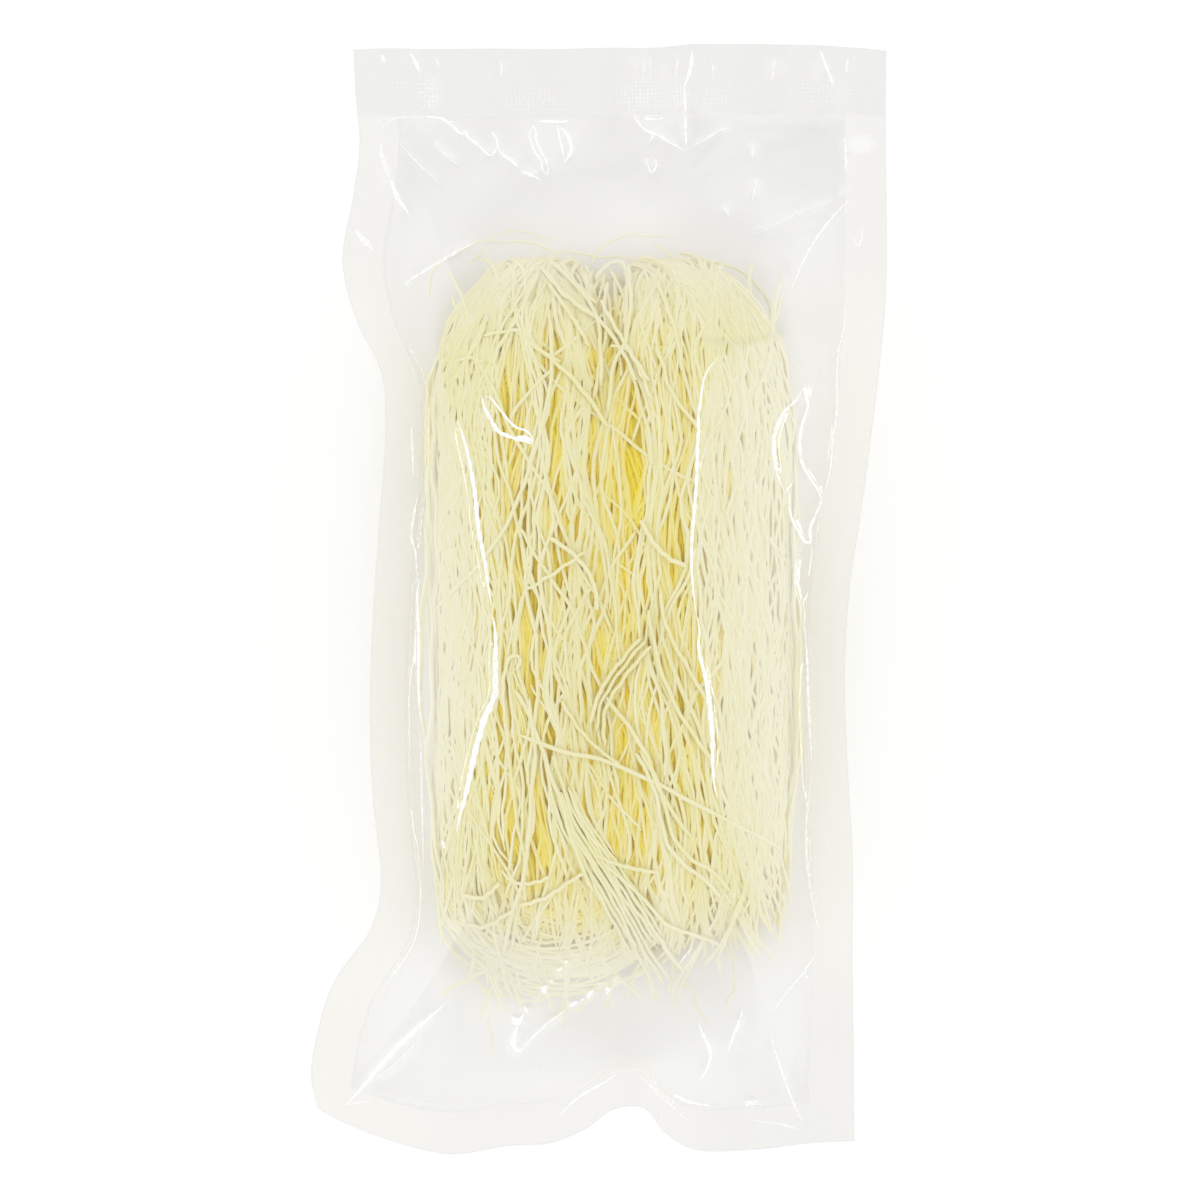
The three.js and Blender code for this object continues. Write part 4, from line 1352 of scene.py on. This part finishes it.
def film_material(name, least_milk, most_milk, tint, least_mirror=0.04, most_mirror=0.04):
    """Clear to hazy film, reading maps of haze and painted veil, painted shade (rim) and painted sheen."""
    material, tree = new_material(name)
    place = node(tree, "TexCoord")
    haze_here, painted_shade_here, sheen_here = (
        node(tree, "Attribute", attribute_name=key).outputs["Fac"] for key in ("haze_and_painted_veil", "rim", "sheen")
    )
    cloud = node(tree, "TexNoise", {"Vector": place.outputs["Object"], "Scale": 45.0, "Detail": 1.0})
    # Milk from the haze map: partly the film's own haze, partly a painted veil of reflected light.
    hazy = node(tree, "MapRange", {"Value": haze_here, "To Min": least_milk, "To Max": most_milk})
    clouds = {"Value": cloud.outputs[0], "From Min": 0.3, "From Max": 0.7, "To Min": 0.88, "To Max": 1.12}
    uneven = node(tree, "MapRange", clouds)
    milk_parts = {0: hazy.outputs[0], 1: uneven.outputs[0], 2: sheen_here}
    milk_share = node(tree, "Math", milk_parts, operation="MULTIPLY_ADD")
    facing = node(tree, "LayerWeight", {"Blend": 0.5})
    grazing = node(tree, "Math", {0: facing.outputs["Facing"], 1: 4.0}, operation="POWER")
    thick_haze = node(tree, "Math", {0: haze_here, 1: 1.3}, operation="POWER")
    mirror_range = {"Value": thick_haze.outputs[0], "To Min": least_mirror, "To Max": most_mirror}
    head_on = node(tree, "MapRange", mirror_range)
    mirror_parts = {0: grazing.outputs[0], 1: 0.7, 2: head_on.outputs[0]}
    mirror_share = node(tree, "Math", mirror_parts, operation="MULTIPLY_ADD")
    # The rim map tints the film darker: painted shade.
    through = node(tree, "MixRGB", {0: painted_shade_here, 1: tint, 2: PAINTED_SHADE_TINT})
    clear = node(tree, "BsdfTransparent", {"Color": through.outputs[0]})
    # The sheen map turns the milk white: painted sheen.
    paler = node(tree, "MixRGB", {"Fac": sheen_here, 1: MILK, 2: SHEEN_WHITE})
    milky = node(tree, "BsdfDiffuse", {"Color": paler.outputs[0]})
    body = node(tree, "MixShader", {0: milk_share.outputs[0], 1: clear.outputs[0], 2: milky.outputs[0]})
    glint = node(tree, "BsdfGlossy", {"Color": (1, 1, 1, 1), "Roughness": 0.02})
    both = node(tree, "MixShader", {0: mirror_share.outputs[0], 1: body.outputs[0], 2: glint.outputs[0]})
    node(tree, "OutputMaterial", {"Surface": both.outputs[0]})
    return material


upper_look = film_material("upper_film", 0.03, 0.22, FILM_TINT, most_mirror=0.42)
lower_look = film_material("lower_film", 0.08, 0.08, FILM_TINT)
weld_look = film_material("welded_film", 0.35, 0.35, WELD_TINT)
closing_look = film_material("closing_weld", 0.42, 0.42, CLOSING_TINT, least_mirror=0.06)
print("film materials:", upper_look.name, lower_look.name, weld_look.name, closing_look.name)

# %% [markdown]
# A crest's white is a painted highlight, standing in for the glint of the lamps on the fold. A white
# diffuse part with a trace of shine gives it, and a fine noise makes it uneven. How much of the film
# it covers is an attribute, so that the crest can melt into clear film at its edges.

# %% Material of the painted crest highlights
crest_look, tree = new_material("painted_crease_highlight")
cover = node(tree, "Attribute", attribute_name="cover")
grain_place = node(tree, "TexCoord")
highlight_noise = node(tree, "TexNoise", {"Vector": grain_place.outputs["Object"], "Scale": 900.0, "Detail": 1.0})
highlight_patchiness = {"Value": highlight_noise.outputs[0], "From Min": 0.3, "From Max": 0.7, "To Min": 0.75, "To Max": 1.25}
uneven = node(tree, "MapRange", highlight_patchiness)
covered = {0: cover.outputs["Fac"], 1: uneven.outputs[0]}
# The crest's white is a painted highlight, standing in for the glint of the lamps on the fold.
highlight_share = node(tree, "Math", covered, operation="MULTIPLY", use_clamp=True)
clear = node(tree, "BsdfTransparent", {"Color": (1, 1, 1, 1)})
white = node(tree, "BsdfDiffuse", {"Color": (0.985, 0.985, 0.98, 1)})
shine = node(tree, "BsdfGlossy", {"Color": (1, 1, 1, 1), "Roughness": 0.25})
crest = node(tree, "MixShader", {0: 0.12, 1: white.outputs[0], 2: shine.outputs[0]})
both = node(tree, "MixShader", {0: highlight_share.outputs[0], 1: clear.outputs[0], 2: crest.outputs[0]})
node(tree, "OutputMaterial", {"Surface": both.outputs[0]})
print("material:", crest_look.name)

# %% [markdown]
# ## The two films
#
# One grid of u and v covers the bag. The faces between the welds are made twice, once for each film.
# All sheets share their rows and columns, so they meet exactly, and the films ease into the welds over
# three cells. The outermost row and column are only 0.35 mm wide, for the dark bare edge. Film hardly
# changes the light on what lies under it, so only the eye and mirrors see the film's pieces.

# %% Upper film and lower film
BARE_EDGE = 0.35
N_SIDE, N_ACROSS, N_FOOT, N_ALONG, N_HEAD = 14, 206, 14, 440, 24


def shares(total, first, last, n_first, n_inner, n_last):
    """Places from 0 to 1 across the sheet: a bare edge, a weld, the pouch, a weld, a bare edge."""
    weld_1 = np.linspace(BARE_EDGE / total, first / total, n_first - 1, endpoint=False)
    pouch = np.linspace(first / total, 1 - last / total, n_inner, endpoint=False)
    weld_2 = np.linspace(1 - last / total, 1 - BARE_EDGE / total, n_last)
    return np.concatenate([[0.0], weld_1, pouch, weld_2, [1.0]])


def grid_faces(rows, columns):
    """The four-cornered faces of a grid of points."""
    index = np.arange(rows * columns).reshape(rows, columns)
    return np.stack([index[:-1, :-1], index[:-1, 1:], index[1:, 1:], index[1:, :-1]], -1)


def film_piece(name, points, quads, material):
    """A piece of film, which only the eye and mirrors see."""
    piece = make_piece(name, points.reshape(-1, 3), quads, material)
    piece.visible_diffuse = piece.visible_transmission = piece.visible_shadow = False
    return piece


def weld_height(points):
    """Welds lie at the sheet's own height, with the ridges of the creases that cross them."""
    return points[..., 2] + values_at(creased, points)


us = shares(FLAT_WIDTH, SIDE_WELD, SIDE_WELD, N_SIDE, N_ACROSS, N_SIDE)
vs = shares(FLAT_LENGTH, FOOT_WELD, HEAD_WELD, N_FOOT, N_ALONG, N_HEAD)
plan = sheet(us[None, :], vs[:, None])
inner = plan[N_FOOT:-N_HEAD, N_SIDE:-N_SIDE]
rows, columns = np.indices(inner.shape[:2])
in_from_weld = np.minimum(np.minimum(rows, rows[::-1]), np.minimum(columns, columns[:, ::-1]))
ease, near_weld = smooth_step(in_from_weld / 3), 0.45 + 0.55 * smooth_step(in_from_weld / 9)


def pouch_film(heights):
    """A film's points in the pouch, easing into the welds over the outermost cells."""
    z = values_at(heights, inner) * ease + weld_height(inner) * (1 - ease)
    return np.concatenate([inner[..., :2], z[..., None]], -1)


upper = pouch_film(film_z)
upper_film = film_piece("upper_film", upper, grid_faces(*upper.shape[:2]), upper_look)
vertex_value(upper_film, "haze_and_painted_veil", values_at(haze_and_painted_veil, inner) * near_weld)
vertex_value(upper_film, "rim", values_at(painted_shade, inner))
vertex_value(upper_film, "sheen", values_at(sheen, inner))
lower = pouch_film(lower_z)[::2, ::2]
film_piece("lower_film", lower, grid_faces(*lower.shape[:2]), lower_look)

# %% [markdown]
# ## Side and foot welds
#
# Along the sides and the foot the two films are one sheet, so those faces of the grid are made once.
# Their outermost row is the bare cut edge. The welds share the film's painted shade, and are tinted a
# little darker towards the right of the foot.

# %% Side and foot welds
rim = plan[:-N_HEAD].copy()
rim[..., 2] = weld_height(rim)
rim_faces = grid_faces(*rim.shape[:2])
keep = np.ones(rim_faces.shape[:2], bool)
keep[N_FOOT:, N_SIDE:-N_SIDE] = False
used, renumbered = np.unique(rim_faces[keep].ravel(), return_inverse=True)
welds = film_piece("side_and_foot_welds", rim.reshape(-1, 3)[used], renumbered, weld_look)
# The welds' rim is painted shade from the film's map, darker towards the right of the foot, and the bare
# edge.
right_foot_dim = 0.18 * smooth_step((-70 - rim[..., 1]) / 20) * smooth_step((rim[..., 0] + 45) / 15)
edge_and_painted_shade = np.clip(values_at(painted_shade, rim) * 1.15 - 0.15, 0, 1) + right_foot_dim
edge_and_painted_shade[0, :] = edge_and_painted_shade[:, 0] = edge_and_painted_shade[:, -1] = 1
vertex_value(welds, "rim", edge_and_painted_shade.ravel()[used])
vertex_value(welds, "sheen", values_at(sheen, rim).ravel()[used])

# %% [markdown]
# ## Closing weld
#
# The closing weld has a finer grid of its own. Hot jaws press a pattern of small square dots into it,
# 0.9 mm apart, and above the pattern a plain lip is left. In most of the band the dots are so shallow
# that they hardly show. Where the weld ripples, the jaws pressed deeper, and single dots catch the
# light, which is painted on them as white glints in the sheen map. Those patches were read off the
# photograph: place and half size in pixels, and strength.

# %% Closing weld
EMBOSS_PITCH, LIP = 0.9, 4.6
LEAST_PRESS, DEEPEST_PRESS = 0.02, 0.12
DEEP_PRESS = [
    (428, 90, 12, 20, 1.0), (398, 84, 8, 8, 0.4), (535, 99, 30, 15, 0.55), (640, 100, 20, 24, 0.9),
    (682, 108, 12, 28, 1.0), (716, 103, 15, 18, 0.5), (826, 90, 24, 15, 0.7), (560, 108, 8, 8, 0.5),
]
head_u = np.linspace(BARE_EDGE / FLAT_WIDTH, 1 - BARE_EDGE / FLAT_WIDTH, 580)
head_u = np.concatenate([[0], head_u, [1]])[None, :]
head_v = np.linspace(1 - HEAD_WELD / FLAT_LENGTH, 1 - BARE_EDGE / FLAT_LENGTH, 68)
head_v = np.concatenate([head_v, [1]])[:, None]
head = sheet(head_u, head_v)
head[..., 2] = weld_height(head)
from_left, from_top = head_u * FLAT_WIDTH, (1 - head_v) * FLAT_LENGTH
in_band = np.clip((from_top - LIP) / 0.5, 0, 1) * np.clip((HEAD_WELD - 0.8 - from_top) / 0.5, 0, 1)
press = np.full(head.shape[:2], LEAST_PRESS)
for px, py, half_x, half_y, strength in DEEP_PRESS:
    cx, cy = on_table((px, py), 4.0)
    right, up = (head[..., 0] - cx) / (half_x * MM_PER_PIXEL), (head[..., 1] - cy) / (half_y * MM_PER_PIXEL)
    press = np.maximum(press, DEEPEST_PRESS * strength * np.exp(-(((right**2 + up**2) * 0.9) ** 1.5)))
dots = np.sin(math.pi * from_left / EMBOSS_PITCH) * np.sin(math.pi * from_top / EMBOSS_PITCH)
dots = np.abs(dots) ** 2.5
head[..., 2] += press * in_band * dots
closing = film_piece("closing_weld", head, grid_faces(*head.shape[:2]), closing_look)

edge_and_painted_shade = np.zeros(head.shape[:2])
edge_and_painted_shade[-1, :] = edge_and_painted_shade[:, 0] = edge_and_painted_shade[:, -1] = 1
vertex_value(closing, "rim", edge_and_painted_shade)
column, row = (from_left / EMBOSS_PITCH).astype(int), (from_top / EMBOSS_PITCH).astype(int)
catch = rng.uniform(0.0, 1.0, (int(HEAD_WELD / EMBOSS_PITCH) + 2, int(FLAT_WIDTH / EMBOSS_PITCH) + 2))
# Painted glints: dots where the jaws pressed deeper are painted white, and every dot gets a faint painted
# glint.
sparkle = (press - LEAST_PRESS) / 0.1 * (0.25 + 1.3 * catch[row, column] ** 1.5)
sparkle = np.clip(sparkle, 0, 1) * dots * in_band
vertex_value(closing, "sheen", np.clip(sparkle + values_at(sheen, head) + 0.02 * dots * in_band, 0, 1))

# %% [markdown]
# ## Painted crest highlights
#
# The painted highlights are thin strips that ride on the film, five points wide, tapering at both
# ends. Their cover fades out at the edges, so that they melt into the film. They are crowned a little,
# so that they stay above the film between its points.

# %% Painted crest highlights
STRIP = np.array([-1, -0.78, 0, 0.78, 1])
STRIP_COVER = np.array([0, 1, 1, 1, 0])

surface = np.where(in_pouch, film_z, weld_z + creased)
strip_points, strip_quads, strip_cover, base = [], [], [], 0
for (width, highlight_strength, _), line in zip(CREASES, crest_paths):
    share = np.linspace(0, 1, len(line))
    taper = np.sin(share * math.pi) ** 0.55 * (1 + 0.18 * np.sin(share * len(line) * 0.9 + width * 7))
    half = np.maximum(width * MM_PER_PIXEL * taper / 2 * 1.3, 0.03)[:, None]
    tangent = np.gradient(line, axis=0)
    length = np.linalg.norm(tangent, axis=1, keepdims=True) + 1e-9
    across = np.stack([-tangent[:, 1], tangent[:, 0]], -1) / length
    flat = line[:, None] + across[:, None] * (half * STRIP)[..., None]
    crown = 0.07 + 0.16 * half * (1 - STRIP**2)
    z = values_at(surface, flat) + crown
    strip_points.append(np.concatenate([flat, z[..., None]], -1).reshape(-1, 3))
    strip_quads.append(grid_faces(*flat.shape[:2]).reshape(-1, 4) + base)
    strip_cover.append(np.tile(highlight_strength * STRIP_COVER, len(line)))
    base += flat.shape[0] * flat.shape[1]
# These strips carry the painted highlights along the creases.
crests = film_piece("painted_crease_highlights", np.vstack(strip_points), np.vstack(strip_quads), crest_look)
vertex_value(crests, "cover", np.concatenate(strip_cover))
